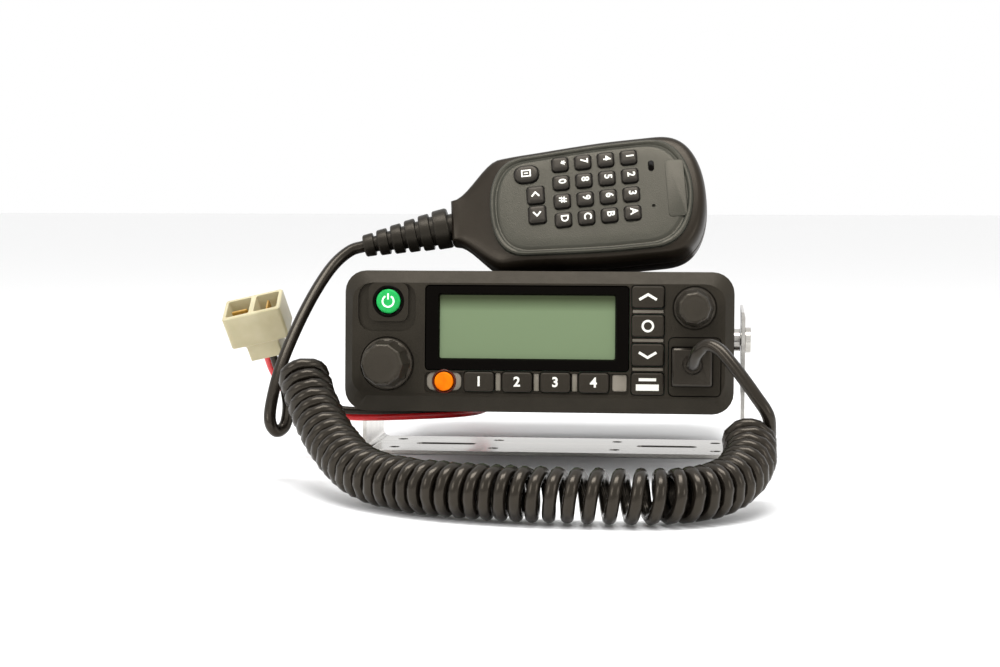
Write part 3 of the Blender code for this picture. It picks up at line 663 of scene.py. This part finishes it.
def character(name, text, height, where, look, body, weight=0.022):
    """One printed character, turned into a mesh."""
    font = bpy.data.curves.new(name, "FONT")
    font.body = text
    font.align_x = "CENTER"
    font.align_y = "CENTER"
    font.size = height / 0.72
    font.offset = weight * height
    font.extrude = PRINT_DEPTH
    font.resolution_u = 4
    text_object = bpy.data.objects.new(name, font)
    bpy.context.scene.collection.objects.link(text_object)
    graph = bpy.context.evaluated_depsgraph_get()
    mesh = bpy.data.meshes.new_from_object(text_object.evaluated_get(graph), depsgraph=graph)
    bpy.data.objects.remove(text_object)
    mesh.transform(where)
    return place(name, mesh, look, body)


def stroke(bm, points, width, closed=False):
    """A flat band of even width along a line of x and y pairs, with some thickness."""
    line = [Vector((x, y, 0.0)) for x, y in points]
    count = len(line)
    sides = []
    for i, point in enumerate(line):
        before = line[(i - 1) % count] if closed or i else point
        after = line[(i + 1) % count] if closed or i < count - 1 else point
        run_in = (point - before).normalized()
        run_out = (after - point).normalized()
        tangent = (run_in + run_out).normalized()
        reach = width / 2 / max(0.5, tangent.dot(run_in if run_in.length else run_out))
        normal = Vector((-tangent.y, tangent.x, 0.0)) * reach
        corners = []
        for offset, height in ((1, PRINT_DEPTH), (-1, PRINT_DEPTH), (-1, 0.0), (1, 0.0)):
            corners.append(bm.verts.new(point + normal * offset + Vector((0.0, 0.0, height))))
        sides.append(corners)
    pairs = list(zip(sides, sides[1:]))
    if closed:
        pairs.append((sides[-1], sides[0]))
    for first, second in pairs:
        bridge(bm, first, second)
    if not closed:
        bm.faces.new(sides[0])
        bm.faces.new(sides[-1])


def arc(radius, start, end, steps=28, centre=(0.0, 0.0)):
    found = []
    for i in range(steps + 1):
        angle = math.radians(start + (end - start) * i / steps)
        found.append((centre[0] + radius * math.cos(angle), centre[1] + radius * math.sin(angle)))
    return found


def mark(name, strokes, where, look, body):
    """A printed sign made of strokes. A stroke is its points, its width and whether it closes."""
    bm = bmesh.new()
    for points, width, closed in strokes:
        stroke(bm, points, width, closed)
    bmesh.ops.recalc_face_normals(bm, faces=bm.faces)
    mesh = bpy.data.meshes.new(name)
    bm.to_mesh(mesh)
    bm.free()
    mesh.transform(where)
    return place(name, mesh, look, body)


def chevron(width, height, up):
    rise = height / 2 if up else -height / 2
    return [(-width / 2, -rise), (0.0, rise), (width / 2, -rise)]


# ---------------------------------------------------------------- front panel

PANE_AREA = (-36.6, 28.9, -6.4, 17.4)
MODULE_AREA = (-39.5, 31.5, -9.3, 19.6)
BUTTON_BACK_Y = -57.2
CALL_FACE_Y = -64.4
KEY_PRINT_Y = -64.1
CROWN = 0.7
STRIP_FRONT_Y = FRONT_Y + 0.35
STRIP_BACK_Y = FRONT_Y + 0.98
LOBE_DEPTH = 0.055
LOBE_POINTS = 14


def build_display():
    """A glossy black mask round a recessed grey-green pane."""
    mask_area = grow(WINDOW, -GAP)
    front = FRONT_Y + 0.2
    bm = bmesh.new()
    layers = [(mask_area, 1.2, -61.4), (mask_area, 1.2, front + 0.15), (grow(mask_area, -0.15), 1.1, front)]
    stack_plates(bm, layers)
    mask = place("display_mask", to_mesh(bm, "display_mask", RADIO), "black_gloss", "radio")
    bm = bmesh.new()
    stack_plates(bm, [(grow(PANE_AREA, 0.5), 0.9, front - 0.3), (grow(PANE_AREA, -0.35), 0.6, -61.0)])
    cut(mask, bm, RADIO)
    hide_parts("display_window")
    bm = bmesh.new()
    stack_plates(
        bm,
        [
            (MODULE_AREA, 1.0, -55.5),
            (MODULE_AREA, 1.0, -61.1),
            (grow(PANE_AREA, 0.4), 0.6, -61.12),
            (grow(PANE_AREA, 0.3), 0.6, -61.5),
        ],
    )
    pane = place("lcd_pane", to_mesh(bm, "lcd_pane", RADIO), "lcd", "radio")
    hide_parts("lcd_module")


def strip_plate(name, area, radius, edge=0.3):
    """A satin plate just under the front panel's face."""
    look, slot = "satin_strip", "black_plastic"
    return soft_plate(name, area, radius, STRIP_FRONT_Y, STRIP_BACK_Y, look, "radio", RADIO, edge)


def build_strips():
    """Satin bars that show between the keys, and the plate that holds the call button."""
    for index in range(1, 4):
        x = FIRST_KEY_X + (index - 0.5) * KEY_PITCH
        strip_plate(f"strip_bar_{index}", around((x, STRIP_Z), (2.0, 6.6)), 0.5)
    strip_plate("strip_block", around((30.6, STRIP_Z), (5.4, 6.2)), 0.8, 0.4)
    for index in range(3):
        z = NAV_TOP_Z - (index + 0.5) * NAV_PITCH
        strip_plate(f"nav_bar_{index + 1}", around((NAV_X, z), (11.4, 1.3)), 0.4)
    holder = strip_plate("call_plate", around(CALL_XZ, (13.0, 6.8)), 2.6)
    bm = bmesh.new()
    turned(bm, [(4.9, STRIP_FRONT_Y - 1.0), (4.2, STRIP_BACK_Y + 0.5)], CALL_XZ, 40)
    cut(holder, bm, RADIO)


def ring_piece(name, centre, inner, outer, front, back, look):
    """A flat ring on the radio's front with a rounded crown."""
    bm = bmesh.new()
    middle_radius = (inner + outer) / 2
    half = (outer - inner) / 2
    rings = []
    for i in range(9):
        turn = math.pi * i / 8
        radius = middle_radius + half * math.cos(turn)
        depth = back + (front - back) * math.sin(turn)
        ring = []
        for j in range(48):
            angle = 2 * math.pi * j / 48
            x = centre[0] + radius * math.cos(angle)
            ring.append((x, depth, centre[1] + radius * math.sin(angle)))
        rings.append(add_ring(bm, ring))
    for first, second in zip(rings, rings[1:] + rings[:1]):
        bridge(bm, first, second)
    return place(name, to_mesh(bm, name, RADIO), look, "radio")


def build_round_button(node, centre, radius, front, back, look):
    """A round push button with a softly crowned face."""
    bm = bmesh.new()
    profile = [(radius, back), (radius, front + CROWN)]
    for i in range(1, 9):
        turn = math.pi / 2 * i / 8
        inset = CROWN * (1.0 - math.cos(turn))
        profile.append((radius - inset, front + CROWN * (1.0 - math.sin(turn))))
    profile.append((radius * 0.4, front - 0.12))
    turned(bm, profile, centre, 48)
    piece = place(f"{node}_look", to_mesh(bm, node, RADIO, 50.0), look, BODY_OF[node])
    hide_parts(node)
    return piece


def build_buttons():
    """The lit power button with its printed sign, the call button, and the ring round each."""
    face = FRONT_Y - 0.5
    build_round_button("power_button", POWER_XZ, 4.55, face, BUTTON_BACK_Y, "lit_green")
    ring_piece("power_ring", POWER_XZ, 4.8, 6.0, FRONT_Y - 0.35, FRONT_Y + 0.15, "black_gloss")
    strokes = [(arc(2.1, 120.0, 420.0), 0.62, False), ([(0.0, 0.7), (0.0, 2.9)], 0.62, False)]
    where = facing(POWER_XZ, face - 0.1, RADIO)
    mark("power_mark", strokes, where, "lit_legend", "power_button")
    build_round_button("call_button", CALL_XZ, 3.5, CALL_FACE_Y, BUTTON_BACK_Y, "call_orange")
    ring_piece("call_ring", CALL_XZ, 3.75, 4.5, FRONT_Y - 0.05, FRONT_Y + 0.5, "dark_red")


def build_key_marks():
    """The digits of the function keys and the signs of the four keys beside the display."""
    for index in range(4):
        node = f"function_key_{index + 1}"
        centre = (FIRST_KEY_X + index * KEY_PITCH, STRIP_Z)
        where = facing(centre, KEY_PRINT_Y, RADIO)
        character(f"{node}_mark", str(index + 1), 3.6, where, "legend", node, 0.04)
    signs = (
        ("up_key", [(chevron(6.4, 1.9, True), 0.95, False)]),
        ("enter_key", [(arc(1.9, 0.0, 352.0), 0.8, True)]),
        ("down_key", [(chevron(6.4, 1.9, False), 0.95, False)]),
        (
            "band_key",
            [([(-3.2, 1.6), (3.2, 1.6)], 1.1, False), ([(-4.2, -1.3), (4.2, -1.3)], 2.3, False)],
        ),
    )
    for index, (node, strokes) in enumerate(signs):
        centre = (NAV_X, NAV_TOP_Z - index * NAV_PITCH)
        mark(f"{node}_mark", strokes, facing(centre, KEY_PRINT_Y, RADIO), "legend", node)


def lobed(count, depth, least, skirt):
    """Shallow finger hollows round a knob, sharp where two meet, with none on its skirt or in its cap."""

    def swell(angle, radius, place_on):
        hollow = abs(math.sin(count * angle / 2)) ** 0.8
        strength = depth if radius > least and place_on < skirt else 0.0
        return 1.0 - strength * hollow

    return swell


def build_knob(node, centre, skirt, body, cap, reach, lobes):
    """A knob with a round skirt, a scalloped and tapering body, and a slightly dished cap."""
    skirt_front = FRONT_Y - 1.6
    front = skirt_front - reach
    hollows = lobed(lobes, LOBE_DEPTH, cap * 0.86, skirt_front - 0.4)
    profile = [(3.0, -51.0), (3.0, FRONT_Y + 0.8), (skirt - 0.3, FRONT_Y + 0.8), (skirt, FRONT_Y + 0.5)]
    profile += [(skirt, skirt_front + 0.4), (skirt - 0.15, skirt_front + 0.1), (skirt - 0.5, skirt_front)]
    profile += [(body + 0.15, skirt_front - 0.05), (body + 0.05, skirt_front - 0.5)]
    for i in range(1, 9):
        share = i / 8
        depth = skirt_front - 0.5 + (front + 1.6 - skirt_front) * share
        profile.append((body + (cap - body) * share, depth))
    for i in range(1, 7):
        turn = math.pi / 2 * i / 6
        profile.append((cap - 1.5 * (1.0 - math.cos(turn)), front + 1.1 * (1.0 - math.sin(turn))))
    profile += [(cap * 0.78, front), (cap * 0.72, front + 0.18)]
    profile += [(cap * 0.4, front + 0.28), (0.4, front + 0.3)]
    bm = bmesh.new()
    turned(bm, profile, centre, lobes * LOBE_POINTS, hollows)
    mesh = to_mesh(bm, node, RADIO, 40.0)
    piece = place(f"{node}_look", mesh, "knob_plastic", BODY_OF[node])
    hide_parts(node)


# ---------------------------------------------------------------- microphone


def smooth_step(value):
    held = min(1.0, max(0.0, value))
    return held * held * (3.0 - 2.0 * held)


def mic_half_width(x):
    """Half the microphone's width at a place along it: narrow neck, body, then a round nose."""
    body = MIC_SHOULDER_HALF + (MIC_HALF - MIC_SHOULDER_HALF) * smooth_step((x + 40.0) / 50.0)
    neck = MIC_NECK_HALF + (body - MIC_NECK_HALF) * smooth_step((x - MIC_NECK_X) / 20.0)
    if x <= MIC_NOSE_X:
        return neck
    share = (x - MIC_NOSE_X) / (MIC_END_X - MIC_NOSE_X)
    return neck * max(0.0, 1.0 - share**3.0) ** 0.5


def mic_depth_scale(x):
    return 0.5 + 0.5 * smooth_step((x - MIC_NECK_X) / 30.0)


def mirrored(upper):
    return upper + [(x, -z) for x, z in reversed(upper[1:-1])]


def mic_outline(inset, count=72):
    """One outline of the microphone drawn in by the inset, from its neck over the top and back below."""
    start = MIC_NECK_X + inset * 0.6
    end = MIC_END_X - inset
    upper = []
    for i in range(count + 1):
        share = math.sin(0.5 * math.pi * i / count)
        base = MIC_NECK_X + (MIC_END_X - MIC_NECK_X) * share
        half = max(0.0, mic_half_width(base) * (1.0 - inset / MIC_HALF))
        upper.append((start + (end - start) * share, half))
    upper[-1] = (end, 0.0)
    return upper + [(x, -z) for x, z in reversed(upper[:-1])]


PLATE_START_X = -41.0
PLATE_END_X = 36.4
PLATE_MARGIN = 2.7
PLATE_LEFT_X = -26.0
PLATE_RIGHT_X = 18.0


def plate_outline(inset, count=64):
    """The face plate's outline drawn in by the inset: the body's taper between two well rounded ends."""
    start = PLATE_START_X + inset
    end = PLATE_END_X - inset
    upper = []
    for i in range(count + 1):
        share = 0.5 - 0.5 * math.cos(math.pi * i / count)
        base = PLATE_START_X + (PLATE_END_X - PLATE_START_X) * share
        half = mic_half_width(max(-36.0, min(base, MIC_NOSE_X))) - PLATE_MARGIN
        if base < PLATE_LEFT_X:
            left = (PLATE_LEFT_X - base) / (PLATE_LEFT_X - PLATE_START_X)
            half *= max(0.0, 1.0 - left**2.8) ** 0.45
        if base > PLATE_RIGHT_X:
            right = (base - PLATE_RIGHT_X) / (PLATE_END_X - PLATE_RIGHT_X)
            half *= max(0.0, 1.0 - right**2.8) ** 0.5
        upper.append((start + (end - start) * share, half * (1.0 - inset / MIC_HALF)))
    upper[0] = (start, 0.0)
    upper[-1] = (end, 0.0)
    return mirrored(upper)


def loft(name, sections, outline, look, frame_matrix, scaled=True):
    """A closed skin over outlines. A section is a depth and an inset."""
    bm = bmesh.new()
    rings = []
    for depth, inset in sections:
        ring = []
        for x, z in outline(inset):
            ring.append((x, depth * (mic_depth_scale(x) if scaled else 1.0), z))
        rings.append(add_ring(bm, ring))
    for first, second in zip(rings, rings[1:]):
        bridge(bm, first, second)
    for ring in (rings[0], rings[-1]):
        close_ring(bm, ring)
    bmesh.ops.remove_doubles(bm, verts=bm.verts, dist=0.0005)
    return place(name, to_mesh(bm, name, frame_matrix, 38.0), look, "radio")


def smooth_sections(sections, count):
    """More sections on the smooth line through the given ones."""
    points = catmull_rom([Vector((depth, inset, 0.0)) for depth, inset in sections], count)
    return [(point.x, max(0.0, point.y)) for point in points]


def mic_key_layout():
    rows = (("1", "4", "7", "star"), ("2", "5", "8", "0"), ("3", "6", "9", "hash"), ("a", "b", "c", "d"))
    found = []
    for row, labels in enumerate(rows):
        for column, label in enumerate(labels):
            centre = ((1.5 - column) * MIC_COLUMN_PITCH, MIC_GRID_Z + (1.5 - row) * MIC_ROW_PITCH)
            found.append((f"mic_key_{label}", label, centre, MIC_KEY_SIZE, 1.6))
    found.append(("mic_mode_key", "mode", (-26.2, 12.7), (9.4, 7.2), 3.4))
    found.append(("mic_up_key", "up", (-23.1, 3.5), (6.6, 7.3), 1.4))
    found.append(("mic_down_key", "down", (-22.9, -4.7), (6.6, 7.3), 1.4))
    return found


def build_mic_shells():
    """The front and back shells and the face plate, with openings for keys, sound and talk switch."""
    front_sections = [(-0.5, 0.0), (-3.0, 0.0), (-5.5, 0.1), (-7.6, 0.7), (-8.8, 1.7), (-9.4, 3.2)]
    front = loft(
        "mic_front_look",
        [(-0.15, 0.25), *smooth_sections(front_sections, 14), (-9.6, 6.0), (-9.7, 10.0)],
        mic_outline,
        "mic_shell",
        MIC,
    )
    plate_sections = [(-7.4, 0.0), (-9.9, 0.0), (-10.5, 0.2), (MIC_FACE_Y, 0.7), (MIC_FACE_Y, 1.3)]
    plate_sections += [(-10.6, 1.8), (-10.2, 2.1)]
    plate_sections += [(-10.15, 2.6), (-10.35, 2.9), (-10.6, 3.3), (-10.7, 4.0), (-10.75, 8.0)]
    plate = loft("mic_face_plate", plate_sections, plate_outline, "mic_face", MIC, False)
    bm = bmesh.new()
    for _, _, centre, size, radius in mic_key_layout():
        area = grow(around(centre, size), GAP)
        stack_plates(bm, [(area, radius, depth) for depth in MIC_CUT_Y])
    turned(bm, [(0.7, depth) for depth in MIC_CUT_Y], MIC_HOLE, 20)
    cut(plate, bm, MIC)
    back_sections = [(0.5, 0.0), (4.0, 0.2), (8.0, 1.2), (14.0, 4.2), (18.0, 8.5), (20.0, 14.0)]
    back_sections = [(0.15, 0.25), *smooth_sections(back_sections, 18)]
    back = loft("mic_back_look", back_sections, mic_outline, "mic_shell", MIC)
    low, high = TALK_SWITCH
    opening = (low[0] - GAP, high[0] + GAP, 15.0, 40.0)
    bm = bmesh.new()
    stack_plates(bm, [(opening, 0.8, low[1] - GAP), (opening, 0.8, high[1] + GAP)])
    cut(back, bm, MIC)
    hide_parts("mic_front_shell")
    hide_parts("mic_back_shell")


def build_mic_keys():
    """Rounded keys with a slight crown, each printed with its digit, letter or arrow."""
    signs = {"star": "*", "hash": "#"}
    for node, label, centre, size, radius in mic_key_layout():
        area = around(centre, size)
        bm = bmesh.new()
        layers = [(area, radius, -6.6), (area, radius, -11.3)]
        for inset, depth in ((0.12, -11.65), (0.38, -11.9), (0.8, -12.02), (1.5, -12.08)):
            layers.append((grow(area, -inset), max(0.3, radius - inset), depth))
        stack_plates(bm, layers)
        mesh = to_mesh(bm, node, MIC, 50.0)
        piece = place(f"{node}_look", mesh, "mic_key", BODY_OF[node])
        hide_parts(node)
        front = -12.07
        if label in ("up", "down"):
            strokes = [(chevron(2.9, 1.7, label == "up"), 0.6, False)]
            mark(f"{node}_mark", strokes, facing(centre, front, MIC), "legend", node)
        elif label == "mode":
            strokes = [([(-1.6, -1.2), (1.6, -1.2), (1.6, 1.2), (-1.6, 1.2)], 0.5, True)]
            strokes.append(([(-0.8, 0.0), (0.8, 0.0)], 0.5, False))
            mark(f"{node}_mark", strokes, facing(centre, front, MIC), "legend", node)
        else:
            text = signs.get(label, label.upper())
            where = facing((centre[0] + 0.5, centre[1] + 0.2), front, MIC, math.radians(-90.0))
            character(f"{node}_mark", text, 2.9, where, "legend", node, 0.03)


def build_mic_trim():
    """The blank name plate, the indicator and the talk switch."""
    label_area = (26.6, 33.6, -11.0, 12.4)
    look, slot = "mic_face", "black_plastic"
    soft_plate("mic_name_plate", label_area, 1.6, MIC_FACE_Y - 0.02, -10.5, look, "radio", MIC, 0.12)
    lamp = around((21.4, 11.0), (2.2, 4.4))
    soft_plate("mic_indicator", lamp, 1.0, -11.1, -10.5, "black_gloss", "radio", MIC)
    switch = soft_plate(
        "talk_switch_look",
        (TALK_SWITCH[0][0], TALK_SWITCH[1][0], TALK_SWITCH[0][2], TALK_SWITCH[1][2]),
        1.6,
        TALK_SWITCH[0][1],
        TALK_SWITCH[1][1],
        "key_rubber",
        "talk_switch",
        MIC,
        0.8,
    )
    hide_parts("talk_switch")


def build_relief():
    """The ribbed strain relief: tapering segments with a waist between each two, on a core in the neck."""
    last = RELIEF_RIBS - 1
    width = RELIEF_LENGTH / RELIEF_RIBS
    profile = [(0.3, -3.0), (5.2, -3.0), (5.2, 0.0), (RELIEF_BASE - 0.3, 0.0), (RELIEF_BASE, 0.3)]
    for index in reversed(range(RELIEF_RIBS)):
        outer = RELIEF_TIP + (RELIEF_BASE - RELIEF_TIP) * index / last
        low = RELIEF_LENGTH * (1.0 - (index + 1) / RELIEF_RIBS)
        start = low + width * 0.28 if index < last else low + 0.3
        if index < last:
            profile += [(outer - 1.2, low + 0.05), (outer - 1.2, start - 0.1), (outer + 0.05, start + 0.15)]
        profile += [(outer + 0.2, start + 0.5), (outer, low + width - 0.4), (outer - 0.35, low + width)]
    profile += [(0.3, RELIEF_LENGTH)]
    bm = bmesh.new()
    rings = []
    for radius, height in profile:
        ring = []
        for i in range(48):
            angle = 2 * math.pi * i / 48
            ring.append((radius * math.cos(angle), radius * math.sin(angle), height))
        rings.append(add_ring(bm, ring))
    skin(bm, rings)
    seat = Matrix.Translation((MIC_NECK_X - 1.5, 2.4, 0.0)) @ Matrix.Rotation(RELIEF_TURN, 4, "Y")
    scaled = Matrix.Translation(seat.translation * MM) @ seat.to_3x3().to_4x4()
    mesh = to_mesh(bm, "mic_strain_relief", MIC @ scaled, 32.0)
    piece = place("mic_relief_look", mesh, "relief_rubber", "radio")
    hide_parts("mic_strain_relief")


# ---------------------------------------------------------------- power plug


def plug_frame():
    """The plug's frame, set as in the design: its mouth faces along Z, tipped forward and to one side."""
    about_x, about_y = PLUG_TURN
    turn = Matrix.Rotation(about_y, 4, "Y") @ Matrix.Rotation(about_x, 4, "X")
    centre = DESK @ (Vector(PLUG_CENTRE) * MM)
    return Matrix.Translation(centre) @ turn


def build_power_plug():
    """A natural nylon housing whose wide mouth holds a flat and an upright brass blade."""
    plug = plug_frame()
    upright = plug @ Matrix.Rotation(math.radians(90.0), 4, "X")
    bm = bmesh.new()
    layers = []
    for half_x, half_y, height, radius in (
        (6.6, 6.0, -12.5, 0.8),
        (6.6, 6.0, -6.4, 0.8),
        (7.4, 6.4, -5.4, 0.9),
        (11.6, 7.8, -4.6, 1.2),
        (11.8, 8.0, -4.2, 1.2),
        (11.8, 8.0, 8.6, 1.2),
        (11.5, 7.7, 9.0, 1.0),
    ):
        layers.append(((-half_x, half_x, -half_y, half_y), radius, height))
    stack_plates(bm, layers)
    piece = place("power_plug_look", to_mesh(bm, "power_plug", upright), "nylon", "radio")
    bm = bmesh.new()
    for chamber in ((-10.4, -1.0, -6.4, 6.4), (1.0, 10.4, -6.4, 6.4)):
        stack_plates(bm, [(chamber, 0.8, 1.0), (chamber, 0.8, 12.0)])
    cut(piece, bm, upright)
    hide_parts("power_plug")
    blades = (("plug_blade_flat", (-9.0, -2.6, -0.5, 0.5)), ("plug_blade_upright", (5.2, 6.2, -3.6, 3.6)))
    for name, area in blades:
        bm = bmesh.new()
        stack_plates(bm, [(area, 0.3, 0.8), (area, 0.3, 7.2), (grow(area, -0.2), 0.2, 7.6)])
        place(name, to_mesh(bm, name, upright), "brass", "radio")
    return piece


# ---------------------------------------------------------------- camera, lights and floor

CAMERA_AZIMUTH = math.radians(5.0)
CAMERA_ELEVATION = math.radians(5.0)
CAMERA_DISTANCE = 0.75
CAMERA_LENS = 73.0
AIM_LEFT = math.radians(1.045)
AIM_UP = math.radians(0.24)


def build_camera():
    face = RADIO @ (Vector((0.0, FRONT_Y, 0.0)) * MM)
    back = Vector(
        (
            math.sin(CAMERA_AZIMUTH) * math.cos(CAMERA_ELEVATION),
            -math.cos(CAMERA_AZIMUTH) * math.cos(CAMERA_ELEVATION),
            math.sin(CAMERA_ELEVATION),
        )
    )
    right = (-back).cross(Vector((0.0, 0.0, 1.0))).normalized()
    up = right.cross(-back)
    aim = -back - right * math.tan(AIM_LEFT) + up * math.tan(AIM_UP)
    data = bpy.data.cameras.new("camera")
    data.lens = CAMERA_LENS
    data.sensor_width = 36.0
    camera = bpy.data.objects.new("camera", data)
    camera.location = face + back * CAMERA_DISTANCE
    camera.rotation_euler = aim.to_track_quat("-Z", "Y").to_euler()
    bpy.context.scene.collection.objects.link(camera)
    bpy.context.scene.camera = camera


def area_light(name, location, aim, size, power):
    data = bpy.data.lights.new(name, "AREA")
    data.shape = "RECTANGLE"
    data.size = size[0]
    data.size_y = size[1]
    data.energy = power
    light = bpy.data.objects.new(name, data)
    light.location = location
    light.rotation_euler = (Vector(aim) - Vector(location)).to_track_quat("-Z", "Y").to_euler()
    bpy.context.scene.collection.objects.link(light)


def build_stage():
    world = bpy.data.worlds.new("studio")
    world.use_nodes = True
    background = world.node_tree.nodes["Background"]
    background.inputs["Color"].default_value = (1.0, 1.0, 1.0, 1.0)
    background.inputs["Strength"].default_value = 1.0
    bpy.context.scene.world = world
    area_light("top_softbox", (0.0, -0.30, 0.75), (0.0, -0.08, 0.05), (0.6, 0.30), 6.0)
    area_light("front_left_softbox", (-0.7, -0.75, 0.5), (0.0, -0.05, 0.06), (0.4, 0.4), 2.5)
    area_light("front_right_softbox", (0.8, -0.7, 0.35), (0.0, -0.05, 0.06), (0.3, 0.4), 1.5)
    mesh = bpy.data.meshes.new("floor")
    bm = bmesh.new()
    bmesh.ops.create_grid(bm, x_segments=2, y_segments=2, size=4.0)
    bm.to_mesh(mesh)
    bm.free()
    floor = bpy.data.objects.new("floor", mesh)
    floor.location = (0.0, 0.0, -0.0004)
    paper = Nodes("floor_paper", (0.92, 0.92, 0.92), 0.7)
    paper.vary_roughness(paper.noise(30.0), 0.65, 0.8)
    mesh.materials.append(paper.material)
    bpy.context.scene.collection.objects.link(floor)
    bpy.context.scene.view_settings.view_transform = "Standard"


# ---------------------------------------------------------------- the whole object

ROUNDING = {"front_bezel": 0.35, "chassis": 0.4, "top_cover": 0.3, "bracket": 0.3, "mic_plug": 0.5}


def refined_nodes():
    """The nodes whose design shape is kept, with rounded edges: those that nothing built here stands for."""
    rebuilt = {"display_window", "lcd_module", "power_button", "call_button", "volume_knob", "tuning_knob"}
    rebuilt |= {"mic_front_shell", "mic_back_shell", "mic_strain_relief", "talk_switch", "power_plug"}
    rebuilt |= {"mic_cord_lead", "mic_cord_coil", "mic_cord_tail", "power_wire_black", "power_wire_red"}
    rebuilt |= {layout[0] for layout in mic_key_layout()}
    return sorted(set(frame["nodes"]) - rebuilt)


def main():
    build_camera()
    kept = {node: refine(node, ROUNDING.get(node, 0.2)) for node in refined_nodes()}
    build_display()
    build_strips()
    build_buttons()
    build_key_marks()
    build_knob("volume_knob", VOLUME_XZ, 9.6, 8.9, 7.9, 11.5, 10)
    build_knob("tuning_knob", TUNING_XZ, 7.6, 7.0, 6.0, 9.5, 9)
    build_mic_shells()
    build_mic_keys()
    build_mic_trim()
    build_relief()
    build_mic_cord()
    build_power_lead(build_power_plug())
    build_stage()


main()
